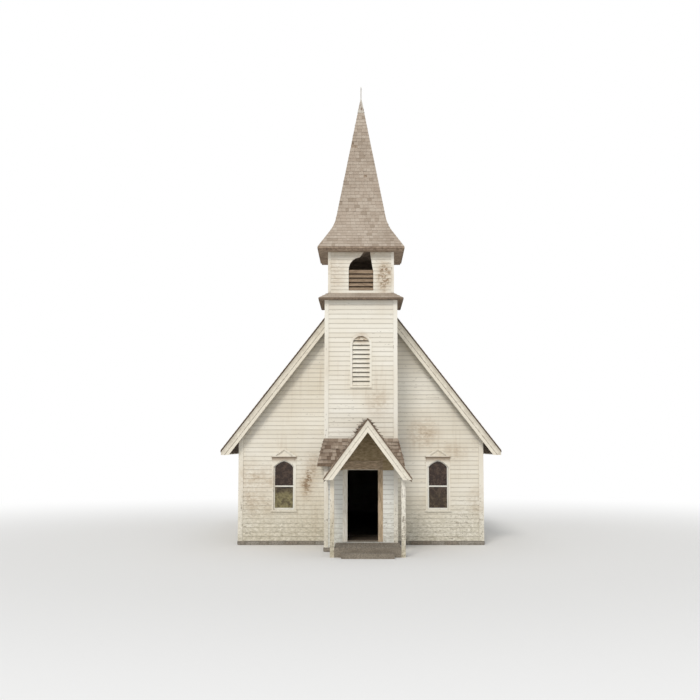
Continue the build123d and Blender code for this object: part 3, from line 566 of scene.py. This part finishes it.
# Old brown boards under the porch and skirt roofs, coloured darker as painted shade under their eaves
SOFFIT_SHADE_TIMBER = weathered_wood("soffit_shade_timber", (0.26, 0.19, 0.13), (0.10, 0.068, 0.045), (25.0, 2.5, 25.0))
CORNICE_TIMBER = weathered_wood("cornice_timber", (0.44, 0.34, 0.25), (0.16, 0.11, 0.075), (14.0, 14.0, 14.0))
PLANK = weathered_wood("plank_timber", (0.33, 0.29, 0.23), (0.12, 0.095, 0.07), (45.0, 4.0, 45.0))
SHINGLE_MATERIAL = shingles("roof_shingle", SHINGLE_PALE, SHINGLE, SHINGLE_DARK)
OLD_SHINGLES = shingles("old_roof_shingle", OLD_SHINGLE_PALE, OLD_SHINGLE, OLD_SHINGLE_DARK)
STONE = stone("foundation_stone")
MORTAR = Shader("mortar").finish((0.20, 0.18, 0.145), 0.95)
IRON = iron("finial_metal")
GLASS = glass("window_glass")

NODE_FINISHES = {
    PLASTER: (
        "front_gable_wall", "back_gable_wall", "left_side_wall", "right_side_wall",
        "tower_front_wall", "tower_left_wall", "tower_right_wall",
    ),
    SHADED_INNER_TIMBER: (
        "nave_floor", "tower_floor", "belfry_deck",
        "belfry_back_wall", "belfry_front_wall", "belfry_side_walls",
    ),
    TRIM: ("corner_boards", "tower_corner_boards", "louvre_frame", "louvre_slats", "belfry_corner_boards"),
    CASING_PAINT: ("window_casings",),
    COOL_TRIM: ("window_sashes",),
    RAKE_PAINT: ("eave_fascias",),
    MAIN_RAKE: ("front_rake_boards", "back_rake_boards"),
    PORCH_RAKE: ("porch_rake_boards",),
    DOOR_FRAME: ("door_casing",),
    POST_PAINT: ("porch_posts", "porch_beams"),
    EAVE_SHADE_TIMBER: ("left_roof_slope", "right_roof_slope"),
    SOFFIT_SHADE_TIMBER: ("porch_left_roof", "porch_right_roof", "belfry_skirt_roof", "lower_skirt_roof"),
    CORNICE_TIMBER: ("belfry_cornice", "steeple_roof"),
    LOUVRE_WOOD: ("belfry_louvres",),
    PLANK: ("door_threshold", "porch_sleepers", "ridge_cap"),
    MORTAR: ("foundation_sides", "foundation_ends", "tower_foundation"),
    IRON: ("steeple_finial",),
    GLASS: ("window_panes",),
}
for material, names in NODE_FINISHES.items():
    for name in names:
        node = bpy.data.objects[name]
        for slot in node.material_slots:
            slot.material = material


# Clapboards


class Wall:
    """The outer face of a wall seen from outside: u runs to the right, v up and n outwards."""

    def __init__(self, origin, along):
        self.origin = Vector(origin)
        self.along = Vector(along)
        self.out = self.along.cross(UP)

    def at(self, u, v, n):
        return self.origin + self.along * u + Vector((0, 0, v)) + self.out * n


def hole(centre, foot, top, reach):
    """A hole in the boards, as its two edges at a height, from its half width there."""
    return lambda v: (centre - reach(v), centre + reach(v)) if foot < v < top else None


def box_hole(centre, half, foot, top):
    return hole(centre, foot, top, lambda v: half)


def arch_hole(centre, half, foot, spring):
    """A round-headed hole."""
    return hole(centre, foot, spring + half, lambda v: math.sqrt(half**2 - max(0.0, v - spring) ** 2))


def window_hole(centre):
    """A hole behind a window's casing and its pointed hood."""

    def reach(v):
        return WINDOW_CASING_HALF if v < HOOD_FOOT else HOOD_HALF * (1.0 - (v - HOOD_FOOT) / HOOD_RISE)

    return hole(centre, WINDOW_FOOT, HOOD_FOOT + HOOD_RISE, reach)


def spans_between(low, high, edge, holes):
    """What a course covers between two heights: each span's left and right end, both low and high."""
    spans = [(edge(low)[0], edge(high)[0], edge(low)[1], edge(high)[1])]
    for opening in holes:
        at_low, at_high = opening(low), opening(high)
        if at_low is None and at_high is None:
            continue
        middle = sum(at_low or at_high) / 2
        at_low = at_low or (middle, middle)
        at_high = at_high or (middle, middle)
        kept = []
        for span in spans:
            if at_low[0] > span[2] or at_low[1] < span[0]:
                kept.append(span)
            else:
                kept += [(*span[:2], at_low[0], at_high[0]), (at_low[1], at_high[1], *span[2:])]
        spans = kept
    return [span for span in spans if max(span[2] - span[0], span[3] - span[1]) > NARROWEST_BOARD]


def board_cuts(length, rng):
    """Where the butt joints fall along a course."""
    cuts = [0.0]
    while length - cuts[-1] > UNCUT_LENGTH:
        cuts.append(cuts[-1] + rng.uniform(*BOARD_LENGTHS))
    if length - cuts[-1] > SPLIT_LENGTH:
        cuts.append(cuts[-1] + rng.uniform(SHORTEST_END, length - cuts[-1] - SHORTEST_END))
    return cuts + [length]


def board_rings(wall, span, cut, low, high, course_low, pitch, place, rng):
    """One board's sections from end to end, a little out of true, with the rise of each corner."""
    start, end = cut
    length = max(span[2] - span[0], span[3] - span[1])
    sag = rng.gauss(0, UNEVEN)
    proud = abs(rng.gauss(0, UNEVEN))
    covered = high + BOARD_LAP if high > course_low + pitch - HAIR else high
    foot_rise, top_rise = (low - course_low) / pitch, (covered - course_low) / pitch

    def depth(v):
        return BOARD_BUTT + (BOARD_TOP - BOARD_BUTT) * (v - course_low) / pitch + proud

    gap = BUTT_GAP if length > SHORT_SPAN else 0.0
    steps = max(1, round((end - start) / RING_SPACING))
    for step in range(steps + 1):
        share = (start + gap + (end - start - 2 * gap) * step / steps) / length
        u_low = span[0] + (span[2] - span[0]) * share
        u_high = span[1] + (span[3] - span[1]) * share
        u_top = u_high + (u_high - u_low) * (covered - high) / (high - low)
        wave = sag + WAVE_HEIGHT * math.sin(WAVE_RATE * u_low + place)
        foot = low + wave if low == course_low else low
        corners = (
            wall.at(u_low, foot, 0.0),
            wall.at(u_low, foot, depth(low)),
            wall.at(u_top, covered, depth(covered)),
            wall.at(u_top, covered, 0.0),
        )
        yield corners, (foot_rise, foot_rise, top_rise, top_rise)


def clapboards(
    name, wall, foot, top, edge, holes, seed, notches=(), exposure=BOARD_EXPOSURE, material=CLAPBOARD
):
    """Lapped boards over a wall, in random lengths; notches are heights at which a hole starts or ends."""
    batch = Batch()
    courses = max(1, round((top - foot) / exposure))
    pitch = (top - foot) / courses
    for course in range(courses):
        course_low = foot + course * pitch
        course_high = course_low + pitch
        near, far = course_low + NOTCH_CLEARANCE, course_high - NOTCH_CLEARANCE
        levels = [course_low, *sorted(notch for notch in notches if near < notch < far), course_high]
        for low, high in zip(levels, levels[1:]):
            rng = random.Random(1000 * seed + course)
            for span in spans_between(low + HAIR, high - HAIR, edge, holes):
                cuts = board_cuts(max(span[2] - span[0], span[3] - span[1]), rng)
                for cut in zip(cuts, cuts[1:]):
                    shade, place = rng.random(), rng.uniform(*GRAIN_RANGE)
                    rings = board_rings(wall, span, cut, low, high, course_low, pitch, place, rng)
                    batch.strip(*zip(*rings), shade, place)
    return batch.build(name, material)


GABLE_TOP = RIDGE_HEIGHT - ROOF_PLUMB
WALL_TOP = GABLE_TOP - MAIN_SLOPE * HALF_NAVE
WINDOW_NOTCHES = (WINDOW_FOOT, HOOD_FOOT, HOOD_FOOT + HOOD_RISE)


def gable_edge(v):
    """Ends of a course on a gable wall, at the corner boards or under the roof."""
    reach = min(HALF_NAVE - NAVE_TRIM_WIDTH, (GABLE_TOP - v) / MAIN_SLOPE)
    return (-reach, reach)


def steady(left, right):
    """Ends that are the same at every height."""
    return lambda v: (left, right)


gable_windows = [window_hole(-FRONT_WINDOW_X), window_hole(FRONT_WINDOW_X)]
front = Wall((0, 0, 0), (1, 0, 0))
back = Wall((0, NAVE_LENGTH, 0), (-1, 0, 0))
tower_gap = box_hole(0, HALF_TOWER, 0, GABLE_TOP)
front_top = GABLE_TOP - MAIN_SLOPE * HALF_TOWER
half_side = NAVE_LENGTH / 2
side_edge = steady(NAVE_TRIM_WIDTH - half_side, half_side - NAVE_TRIM_WIDTH)
side_windows = [window_hole(place * SIDE_WINDOW_PITCH) for place in (-1, 0, 1)]
left = Wall((-HALF_NAVE, half_side, 0), (0, -1, 0))
right = Wall((HALF_NAVE, half_side, 0), (0, 1, 0))
for name, wall, top, edge, holes, seed in (
    ("nave_front_boards", front, front_top, gable_edge, [tower_gap, *gable_windows], 1),
    ("nave_back_boards", back, GABLE_TOP, gable_edge, gable_windows, 2),
    ("nave_left_boards", left, WALL_TOP, side_edge, side_windows, 3),
    ("nave_right_boards", right, WALL_TOP, side_edge, side_windows, 4),
):
    clapboards(name, wall, FOUNDATION_TOP, top, edge, holes, seed, WINDOW_NOTCHES)

# Tower: brighter, bluish paint beside the doorway as painted light under the porch roof, bare boards in the
# porch gable above it
tower_front = Wall((0, TOWER_FRONT, 0), (1, 0, 0))
tower_courses = round((TOWER_TOP - FOUNDATION_TOP) / BOARD_EXPOSURE)
tower_pitch = (TOWER_TOP - FOUNDATION_TOP) / tower_courses
gable_foot = FOUNDATION_TOP + PORCH_COURSES * tower_pitch
gable_peak = PORCH_RIDGE - PORCH_PLUMB
tower_reach = HALF_TOWER - TOWER_TRIM_WIDTH
door_middle = (casing_low[0] + casing_high[0]) / 2
door_half = (casing_high[0] - casing_low[0]) / 2
door_hole = box_hole(door_middle, door_half - CASING_LAP, casing_low[2], casing_high[2])
louvre_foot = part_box("louvre_frame")[0][2]
tower_edge = steady(-tower_reach, tower_reach)


def under_porch(v):
    """The ends of the wall under the porch roof."""
    reach = (gable_peak - v) / PORCH_SLOPE
    return (max(PORCH_X - reach, -tower_reach), min(PORCH_X + reach, tower_reach))


tower_holes = [
    arch_hole(0, LOUVRE_CASING_HALF, louvre_foot, LOUVRE_SPRING),
    lambda v: under_porch(v) if gable_foot < v < gable_peak else None,
]
louvre_notches = [LOUVRE_SPRING + LOUVRE_CASING_HALF * share for share in ARC_NOTCHES]
tower_notches = (casing_low[2], casing_high[2], louvre_foot, *louvre_notches)
for name, foot, top, edge, holes, seed, material in (
    ("tower_front_boards", gable_foot, TOWER_TOP, tower_edge, tower_holes, 5, CLAPBOARD),
    ("porch_wall_boards", FOUNDATION_TOP, gable_foot, tower_edge, [door_hole], 13, PORCH_LIT_PAINT),
    ("porch_gable_boards", gable_foot, gable_peak - TUCK, under_porch, [door_hole], 12, TYMPANUM_WOOD),
):
    clapboards(name, tower_front, foot, top, edge, holes, seed, tower_notches, material=material)
tower_depth = -TOWER_FRONT
tower_left = Wall((-HALF_TOWER, 0, 0), (0, -1, 0))
tower_right = Wall((HALF_TOWER, TOWER_FRONT, 0), (0, 1, 0))
left_edge = steady(BOARD_BUTT, tower_depth - TOWER_TRIM_WIDTH)
right_edge = steady(TOWER_TRIM_WIDTH, tower_depth - BOARD_BUTT)
clapboards("tower_left_boards", tower_left, FOUNDATION_TOP, TOWER_TOP, left_edge, [], 6)
clapboards("tower_right_boards", tower_right, FOUNDATION_TOP, TOWER_TOP, right_edge, [], 7)

belfry_reach = HALF_BELFRY - BELFRY_TRIM_WIDTH
belfry_edge = steady(-belfry_reach, belfry_reach)
arch = arch_hole(0, ARCH_HALF, ARCH_SILL, ARCH_SPRING)
belfry_notches = (ARCH_SILL, *[ARCH_SPRING + ARCH_HALF * share for share in ARC_NOTCHES])


def broken_arch(v):
    """The front arch, whose crown has broken away on its right."""
    edges = arch(v)
    if v <= ARCH_SPRING:
        return edges
    share = (v - ARCH_SPRING) / (BELFRY_TOP - ARCH_SPRING)
    left_end = edges[0] if edges else CROWN_LEFT + (CROWN_RIGHT - CROWN_LEFT) * (share - CROWN_START)
    return (left_end, CROWN_RIGHT - CROWN_LEAN * share)


for name, along, holes, seed in (
    ("belfry_front_boards", (1, 0, 0), [broken_arch], 8),
    ("belfry_right_boards", (0, 1, 0), [arch], 9),
    ("belfry_back_boards", (-1, 0, 0), [], 10),
    ("belfry_left_boards", (0, -1, 0), [arch], 11),
):
    outwards = Vector(along).cross(UP)
    side = Wall(Vector((0, TOWER_AXIS, 0)) + outwards * HALF_BELFRY, along)
    foot = BELFRY_FOOT - TUCK
    clapboards(name, side, foot, BELFRY_TOP, belfry_edge, holes, seed, belfry_notches, BELFRY_EXPOSURE)


# Shingles


class Slope:
    """A roof face: s runs up it from the eave, u along it and h square out of it.

    Its spans are the ends of a course at a distance up it, by default its hips. Its limit is how far up the
    shingles go at a place along it.
    """

    def __init__(self, origin, along, profile, spans=None, limit=None):
        self.origin = Vector(origin)
        self.along = Vector(along)
        self.out = self.along.cross(UP)
        self.profile = profile
        self.spans = spans or self.hips
        self.limit = limit
        self.lengths = [0.0]
        for (r0, z0), (r1, z1) in zip(profile, profile[1:]):
            self.lengths.append(self.lengths[-1] + math.hypot(r1 - r0, z1 - z0))

    def section(self, s):
        """Reach, height and outward direction of the surface at a distance up the slope."""
        s = min(max(s, 0.0), self.lengths[-1])
        part = 0
        while part < len(self.lengths) - 2 and self.lengths[part + 1] < s:
            part += 1
        (r0, z0), (r1, z1) = self.profile[part], self.profile[part + 1]
        length = self.lengths[part + 1] - self.lengths[part]
        share = (s - self.lengths[part]) / length
        rise, run = (z1 - z0) / length, (r0 - r1) / length
        return r0 + (r1 - r0) * share, z0 + (z1 - z0) * share, rise, run

    def at(self, u, s, h):
        reach, height, rise, run = self.section(s)
        return self.origin + self.along * u + self.out * (reach + rise * h) + Vector((0, 0, height + run * h))

    def hips(self, s):
        """The ends of a course on the hips of a roof that is square on plan."""
        reach = self.section(s)[0] + HIP_LAP
        return [(-reach, reach)]


def shingle(batch, slope, foot_ends, head_ends, foot, head, lifts, curl, shade, place):
    """One tapered shingle from its butt to its covered head; a curled one bends up towards its butt."""
    rings, rises = [], []
    for part in CURL_PARTS if curl else (0.0, 1.0):
        s = foot + (head - foot) * part
        left, right = (low + (high - low) * part for low, high in zip(foot_ends, head_ends))
        near, far = (lift * (1 - part) + curl * (1 - part) ** 2 - SHINGLE_BED for lift in lifts)
        thick = SHINGLE_THICKNESS + (SHINGLE_HEAD - SHINGLE_THICKNESS) * part
        corners = ((left, near), (left, near + thick), (right, far + thick), (right, far))
        rings.append([slope.at(u, s, h) for u, h in corners])
        rises.append((part,) * 4)
    batch.strip(rings, rises, shade, place)


def lay_shingles(batch, slope, exposure, rng, ragged=0.05, missing=0.0, gaps=(), curled=None):
    """Courses of shingles of random widths; some lift, a few are gone, and curled says where they curl."""
    total = slope.lengths[-1]
    courses = max(1, round(total / exposure))
    pitch = total / courses
    for course in range(courses):
        butt = course * pitch
        head = min(butt + SHINGLE_COVER * pitch, total)
        at_butt, at_head = slope.spans(butt), slope.spans(head)
        for (low, high), (head_low, head_high) in zip(at_butt, at_head):
            u = low - rng.uniform(0, FIRST_CUT)
            while u < high - SLIVER:
                width = rng.uniform(*SHINGLE_WIDTHS)
                left, right = max(u, low), min(u + width - SHINGLE_GAP, high)
                u += width
                if high - u < LAST_WIDTH:
                    right, u = high, high
                heads = (min(max(left, head_low), head_high), min(max(right, head_low), head_high))
                shade, place = rng.random(), rng.uniform(*GRAIN_RANGE)
                drop = rng.uniform(*BUTT_DROP)
                lifts = [abs(rng.gauss(0, LIFT)) for _ in range(2)]
                if rng.random() < ragged:
                    lifts = [rng.uniform(*RAGGED_LIFT) for _ in range(2)]
                curl = rng.random()
                middle = slope.at((left + right) / 2, butt + pitch / 2, 0)
                curl = curled(middle, curl) if curled else 0.0
                if course == 0:
                    lifts, curl = [0.0, 0.0], 0.0
                gone = rng.random() < missing
                if right - left < NARROWEST_SHINGLE or gone:
                    continue
                if any((middle - gap).length < GAP_RADIUS for gap in gaps):
                    continue
                foot = max(0.0, butt + drop)
                end = min(head, slope.limit((left + right) / 2)) if slope.limit else head
                if end - foot > SHORTEST_SHINGLE:
                    shingle(batch, slope, (left, right), heads, foot, end, lifts, curl, shade, place)


def shingled(name, slopes, exposure, seed, material=SHINGLE_MATERIAL, **options):
    rng = random.Random(seed)
    batch = Batch()
    for slope in slopes:
        lay_shingles(batch, slope, exposure, rng, **options)
    return batch.build(name, material)


def turned(front, back, turn):
    """A course's ends on a slope that faces right, or left where turn is -1."""
    return (front, back) if turn > 0 else (-back, -front)


# Main roof, whose courses start behind the tower above the height where they meet it
main_reach = EAVE_REACH - EDGE_KEEP
main_profile = [(main_reach, RIDGE_HEIGHT - MAIN_SLOPE * main_reach), (0.0, RIDGE_HEIGHT)]
reach_step = math.hypot(1, MAIN_SLOPE)
tower_line = (main_reach - HALF_TOWER) * reach_step
main_length = main_reach * reach_step
for name, turn, seed in (("main_roof_shingles_right", 1, 21), ("main_roof_shingles_left", -1, 22)):
    slope = Slope(
        (0, 0, 0),
        (0, turn, 0),
        main_profile,
        lambda s: [turned(ROOF_FRONT if s < tower_line - TOWER_CLEARANCE else 0.0, ROOF_BACK, turn)],
        lambda u: tower_line if turn * u < 0 else main_length,
    )
    shingled(name, [slope], MAIN_EXPOSURE, seed, ragged=0.06, missing=0.002)


def curled_at_front(most):
    """Shingles that curl near the porch's front edge and towards its ridge."""

    def height(middle, chance):
        near_ridge = middle.z > PORCH_RIDGE - CURL_FRONT
        near_front = middle.y < PORCH_FRONT + CURL_FRONT and middle.z > PORCH_RIDGE - 2 * CURL_FRONT
        if chance > 0.25 + 0.35 * near_front + 0.25 * near_ridge:
            return 0.0
        return most * (0.3 + chance) if near_front or near_ridge else 0.3 * most * chance

    return height


porch_reach = PORCH_REACH - EDGE_KEEP
porch_profile = [(porch_reach, PORCH_RIDGE - PORCH_SLOPE * porch_reach), (0.0, PORCH_RIDGE)]
for name, turn, seed, ragged, missing, curl in (
    ("porch_left_shingles", -1, 23, 0.35, 0.02, CURL_HEIGHT),
    ("porch_right_shingles", 1, 27, 0.25, 0.01, CURL_HEIGHT / 2),
):
    ends = turned(PORCH_FRONT, TOWER_FRONT - TUCK, turn)
    slope = Slope((PORCH_X, 0, 0), (0, turn, 0), porch_profile, lambda s: [ends])
    wear = {"ragged": ragged, "missing": missing, "curled": curled_at_front(curl)}
    shingled(name, [slope], FINE_EXPOSURE, seed, OLD_SHINGLES, **wear)


def drawn_in(eave, upper):
    """A little way up the roof from its eave, so that the butts stay inside it."""
    share = EDGE_KEEP / (eave[0] - upper[0])
    return (eave[0] - EDGE_KEEP, eave[1] + (upper[1] - eave[1]) * share)


ALL_SIDES = ((1, 0, 0), (0, 1, 0), (-1, 0, 0), (0, -1, 0))
axis_foot = (0, TOWER_AXIS, 0)
skirt_head = (HALF_BELFRY, skirt_high[2])
skirt_profile = [drawn_in((skirt_high[0], skirt_low[2] + SKIRT_LIP), skirt_head), skirt_head]
skirt_slopes = [Slope(axis_foot, along, skirt_profile) for along in ALL_SIDES]
shingled("belfry_skirt_shingles", skirt_slopes, SKIRT_EXPOSURE, 24, ragged=0.12)

lower_head = (HALF_TOWER + TOWER_TRIM_PROUD, lower_high[2])
lower_profile = [drawn_in((lower_high[0], lower_low[2] + SKIRT_LIP), lower_head), lower_head]
lower_hips = Slope(axis_foot, (1, 0, 0), lower_profile).hips
lower_length = math.dist(*lower_profile)


def lower_front_spans(s):
    """The front of the lower skirt, on both sides of the porch roof."""
    (left, right), = lower_hips(s)
    height = lower_profile[0][1] + (lower_profile[1][1] - lower_profile[0][1]) * s / lower_length
    reach = (PORCH_RIDGE - height) / PORCH_SLOPE
    return [(left, PORCH_X - reach), (PORCH_X + reach, right)]


lower_slopes = [
    Slope(axis_foot, (1, 0, 0), lower_profile, lower_front_spans),
    Slope(axis_foot, (0, 1, 0), lower_profile, lambda s: [(lower_hips(s)[0][0], HALF_TOWER)]),
    Slope(axis_foot, (0, -1, 0), lower_profile, lambda s: [(-HALF_TOWER, lower_hips(s)[0][1])]),
]
shingled(
    "lower_skirt_shingles",
    lower_slopes,
    FINE_EXPOSURE,
    25,
    OLD_SHINGLES,
    ragged=0.6,
    curled=lambda middle, chance: 0.045 * chance if chance < 0.6 else 0.0,
)


def rounded_profile(first, corner, last, radius, steps):
    """Two lines joined by an arc at their corner."""
    first, corner, last = Vector(first), Vector(corner), Vector(last)
    towards_first = (first - corner).normalized()
    towards_last = (last - corner).normalized()
    half_angle = towards_first.angle(towards_last) / 2
    tangent = radius / math.tan(half_angle)
    centre = corner + (towards_first + towards_last).normalized() * radius / math.sin(half_angle)
    start, end = corner + towards_first * tangent, corner + towards_last * tangent
    points = [first]
    for step in range(steps + 1):
        chord = (start - centre).slerp(end - centre, step / steps)
        points.append(centre + chord.normalized() * radius)
    points.append(last)
    return [tuple(point) for point in points]


steeple_break = (STEEPLE_BREAK, STEEPLE_BREAK_HEIGHT)
steeple_profile = rounded_profile(
    drawn_in((steeple_high[0], steeple_low[2] + SKIRT_LIP), steeple_break),
    steeple_break,
    (STEEPLE_TIP, steeple_high[2]),
    STEEPLE_CURVE,
    8,
)
steeple_slopes = [Slope(axis_foot, along, steeple_profile) for along in ALL_SIDES]
steeple_lean = (STEEPLE_BREAK - STEEPLE_TIP) / (steeple_high[2] - STEEPLE_BREAK_HEIGHT)
steeple_gaps = []
for u, height in STEEPLE_GAPS:
    reach = STEEPLE_TIP + (steeple_high[2] - height) * steeple_lean
    steeple_gaps.append(Vector((u, TOWER_AXIS - reach, height)))
shingled("steeple_shingles", steeple_slopes, FINE_EXPOSURE, 26, ragged=0.06, gaps=steeple_gaps)

# Stones of the foundations


def cube_point(side, a, b):
    """A point of the grid on one side of a cube, counted in half cuts from the cube's middle."""
    axis, sign = side
    key = [0, 0, 0]
    key[axis] = sign * STONE_CUTS
    key[(axis + 1) % 3] = 2 * a - STONE_CUTS
    key[(axis + 2) % 3] = 2 * b - STONE_CUTS
    return tuple(key)


def rough_stone(batch, centre, size, rng):
    """A rounded block with a lumpy skin, flat below."""
    sides = list(itertools.product(range(3), (-1, 1)))
    grid = {}
    half = [extent / 2 for extent in size]
    phase = [rng.uniform(0, 6.3) for _ in range(3)]
    for side, a, b in itertools.product(sides, range(STONE_CUTS + 1), range(STONE_CUTS + 1)):
        key = cube_point(side, a, b)
        if key in grid:
            continue
        unit = Vector([part / STONE_CUTS for part in key])
        unit /= sum(abs(part) ** 6 for part in unit) ** (1 / 6)
        lump = 1 + 0.05 * math.sin(3 * unit.x + phase[0]) * math.sin(4 * unit.y + phase[1])
        lump -= 0.04 * (1 + math.sin(5 * unit.z + phase[2]))
        place = Vector(centre) + Vector([u * h * lump for u, h in zip(unit, half)])
        place.z = max(place.z, 0.0)
        grid[key] = len(batch.points)
        batch.points.append(place)
    faces = []
    for side, a, b in itertools.product(sides, range(STONE_CUTS), range(STONE_CUTS)):
        corners = [grid[cube_point(side, a + da, b + db)] for da, db in SQUARE]
        faces.append(tuple(corners if side[1] > 0 else reversed(corners)))
    shade = rng.random()
    batch.faces.extend(faces)
    batch.shades.extend([shade] * len(faces))
    batch.places.extend([0.0] * len(faces))


def stone_course(batch, start, end, rng):
    """One course of stones along a line, with joints between them."""
    start, end = Vector(start), Vector(end)
    length = (end - start).length
    along = (end - start) / length
    u = 0.0
    while u < length - COURSE_END:
        width = rng.uniform(*STONE_WIDTHS)
        if length - u - width < NARROWEST_STONE:
            width = length - u
        tall = FOUNDATION_TOP * rng.uniform(0.90, 1.0)
        middle = start + along * (u + width / 2) + Vector((0, 0, tall / 2))
        long = width - STONE_JOINT
        size = (long, STONE_DEPTH, tall) if abs(along.x) > 0.5 else (STONE_DEPTH, long, tall)
        rough_stone(batch, middle, size, rng)
        u += width


ring_low, ring_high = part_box("foundation_sides")
foot_low, foot_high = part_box("tower_foundation")
inset = STONE_DEPTH / 2 - STONE_PROUD
rng = random.Random(31)
stones = Batch()
for x, side in ((ring_low[0], 1), (ring_high[0], -1)):
    line = x + side * inset
    stone_course(stones, (line, ring_low[1], 0), (line, ring_high[1], 0), rng)
for y, side, left_end, right_end in (
    (ring_low[1], 1, ring_low[0], foot_low[0]),
    (ring_low[1], 1, foot_high[0], ring_high[0]),
    (ring_high[1], -1, ring_low[0], ring_high[0]),
    (foot_low[1], 1, foot_low[0], foot_high[0]),
):
    line = y + side * inset
    stone_course(stones, (left_end, line, 0), (right_end, line, 0), rng)
for x, side in ((foot_low[0], 1), (foot_high[0], -1)):
    line = x + side * inset
    stone_course(stones, (line, foot_low[1], 0), (line, ring_low[1], 0), rng)
stones.build("foundation_stones", STONE)

# Porch floor and step


def planks(name, node, count, lengthwise, seed, joint=0.004):
    """Boards in place of a plain slab, with gaps and uneven ends."""
    rng = random.Random(seed)
    low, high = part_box(node)
    across = 1 - lengthwise
    width = (high[across] - low[across]) / count
    batch = Batch()
    for number in range(count):
        near = low[across] + number * width + joint / 2
        far = near + width - joint
        shade, place = rng.random(), rng.uniform(*GRAIN_RANGE)
        wear = rng.uniform(0, 0.003)
        ends = low[lengthwise] + rng.uniform(0, 0.006), high[lengthwise] - rng.uniform(0, 0.003)
        rings = []
        for step in range(5):
            along = ends[0] + (ends[1] - ends[0]) * step / 4
            cup = 0.0012 * math.sin(3 * along + place)
            top = high[2] - wear
            ring = [(near, low[2]), (far, low[2]), (far, top + cup - HAIR), (near, top - HAIR)]
            if lengthwise == 1:
                rings.append([Vector((a, along, z)) for a, z in ring])
            else:
                rings.append([Vector((along, a, z)) for a, z in reversed(ring)])
        batch.strip(rings, [(0.5,) * 4] * len(rings), shade, place)
    piece = batch.build(name, PLANK)
    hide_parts(node)


planks("porch_planks", "porch_floor", 12, 1, 41)
planks("step_planks", "porch_step", 2, 0, 42)

# Floor, light and camera

WHITE = (1.0, 1.0, 1.0, 1.0)
FLOOR_REACH = 400.0
FLOOR_TONE = (0.80, 0.79, 0.77)
FADE = (9.0, 30.0)
SKY_TONE = (0.93, 0.96, 1.0, 1.0)
SKY_STRENGTH = 0.72
KEY_TONE = (1.0, 0.96, 0.90)
KEY_STRENGTH = 1.35
KEY_SIZE = 16
KEY_TILT = 53
KEY_TURN = -14
CAMERA_PLACE = (0.0, -30.93, 2.94)
CAMERA_PITCH = 5.31
CAMERA_LENS = 52.85
CAMERA_SHIFT = -0.0157


def shown(tree):
    """1 on the rays that show the background: straight, mirrored or through glass."""
    rays = tree.nodes.new("ShaderNodeLightPath").outputs
    share = rays["Is Camera Ray"]
    for name in ("Is Glossy Ray", "Is Transmission Ray"):
        node = tree.nodes.new("ShaderNodeMath")
        node.use_clamp = True
        tree.links.new(share, node.inputs[0])
        tree.links.new(rays[name], node.inputs[1])
        share = node.outputs[0]
    return share


def blended(tree, share, first, second, output):
    """Two shaders mixed by a share and given to the tree's output."""
    blend = tree.nodes.new("ShaderNodeMixShader")
    for socket, source in zip(blend.inputs, (share, first.outputs[0], second.outputs[0])):
        tree.links.new(source, socket)
    tree.links.new(blend.outputs[0], tree.nodes[output].inputs["Surface"])


def stage_floor():
    """A pale floor that fades to white far from the building, and keeps its shadow near it."""
    mesh = bpy.data.meshes.new("stage_floor")
    corners = [((2 * x - 1) * FLOOR_REACH, (2 * y - 1) * FLOOR_REACH, 0) for x, y in SQUARE]
    mesh.from_pydata(corners, [], [(0, 1, 2, 3)])
    floor = placed("stage_floor", mesh)
    shader = Shader("stage_floor")
    tree = shader.tree
    far = shader.between(shader.length(shader.position), *FADE)
    shader.finish(FLOOR_TONE, 0.9)
    glow = tree.nodes.new("ShaderNodeEmission")
    glow.inputs["Color"].default_value = WHITE
    blended(tree, shader.times(far, shown(tree)), shader.surface, glow, "Material Output")
    mesh.materials.append(shader.material)


def studio_light():
    """A soft key from the front left and an even white surround."""
    world = bpy.data.worlds.new("studio")
    bpy.context.scene.world = world
    world.use_nodes = True
    tree = world.node_tree
    surround = tree.nodes["Background"]
    surround.inputs["Color"].default_value = SKY_TONE
    surround.inputs["Strength"].default_value = SKY_STRENGTH
    backdrop = tree.nodes.new("ShaderNodeBackground")
    backdrop.inputs["Color"].default_value = WHITE
    blended(tree, shown(tree), surround, backdrop, "World Output")
    lamp = bpy.data.lights.new("key", "SUN")
    lamp.energy = KEY_STRENGTH
    lamp.angle = math.radians(KEY_SIZE)
    lamp.color = KEY_TONE
    key = placed("key", lamp)
    key.rotation_euler = (math.radians(KEY_TILT), 0, math.radians(KEY_TURN))


def photo_camera():
    """The photograph's view: from about three metres up, looking slightly upwards."""
    lens = bpy.data.cameras.new("camera")
    lens.sensor_width = 36.0
    lens.lens = CAMERA_LENS
    lens.shift_x = CAMERA_SHIFT
    lens.clip_end = 1000.0
    camera = placed("camera", lens)
    camera.location = CAMERA_PLACE
    camera.rotation_euler = (math.radians(90 + CAMERA_PITCH), 0, 0)
    bpy.context.scene.camera = camera


stage_floor()
studio_light()
photo_camera()
bpy.context.scene.view_settings.view_transform = "Standard"
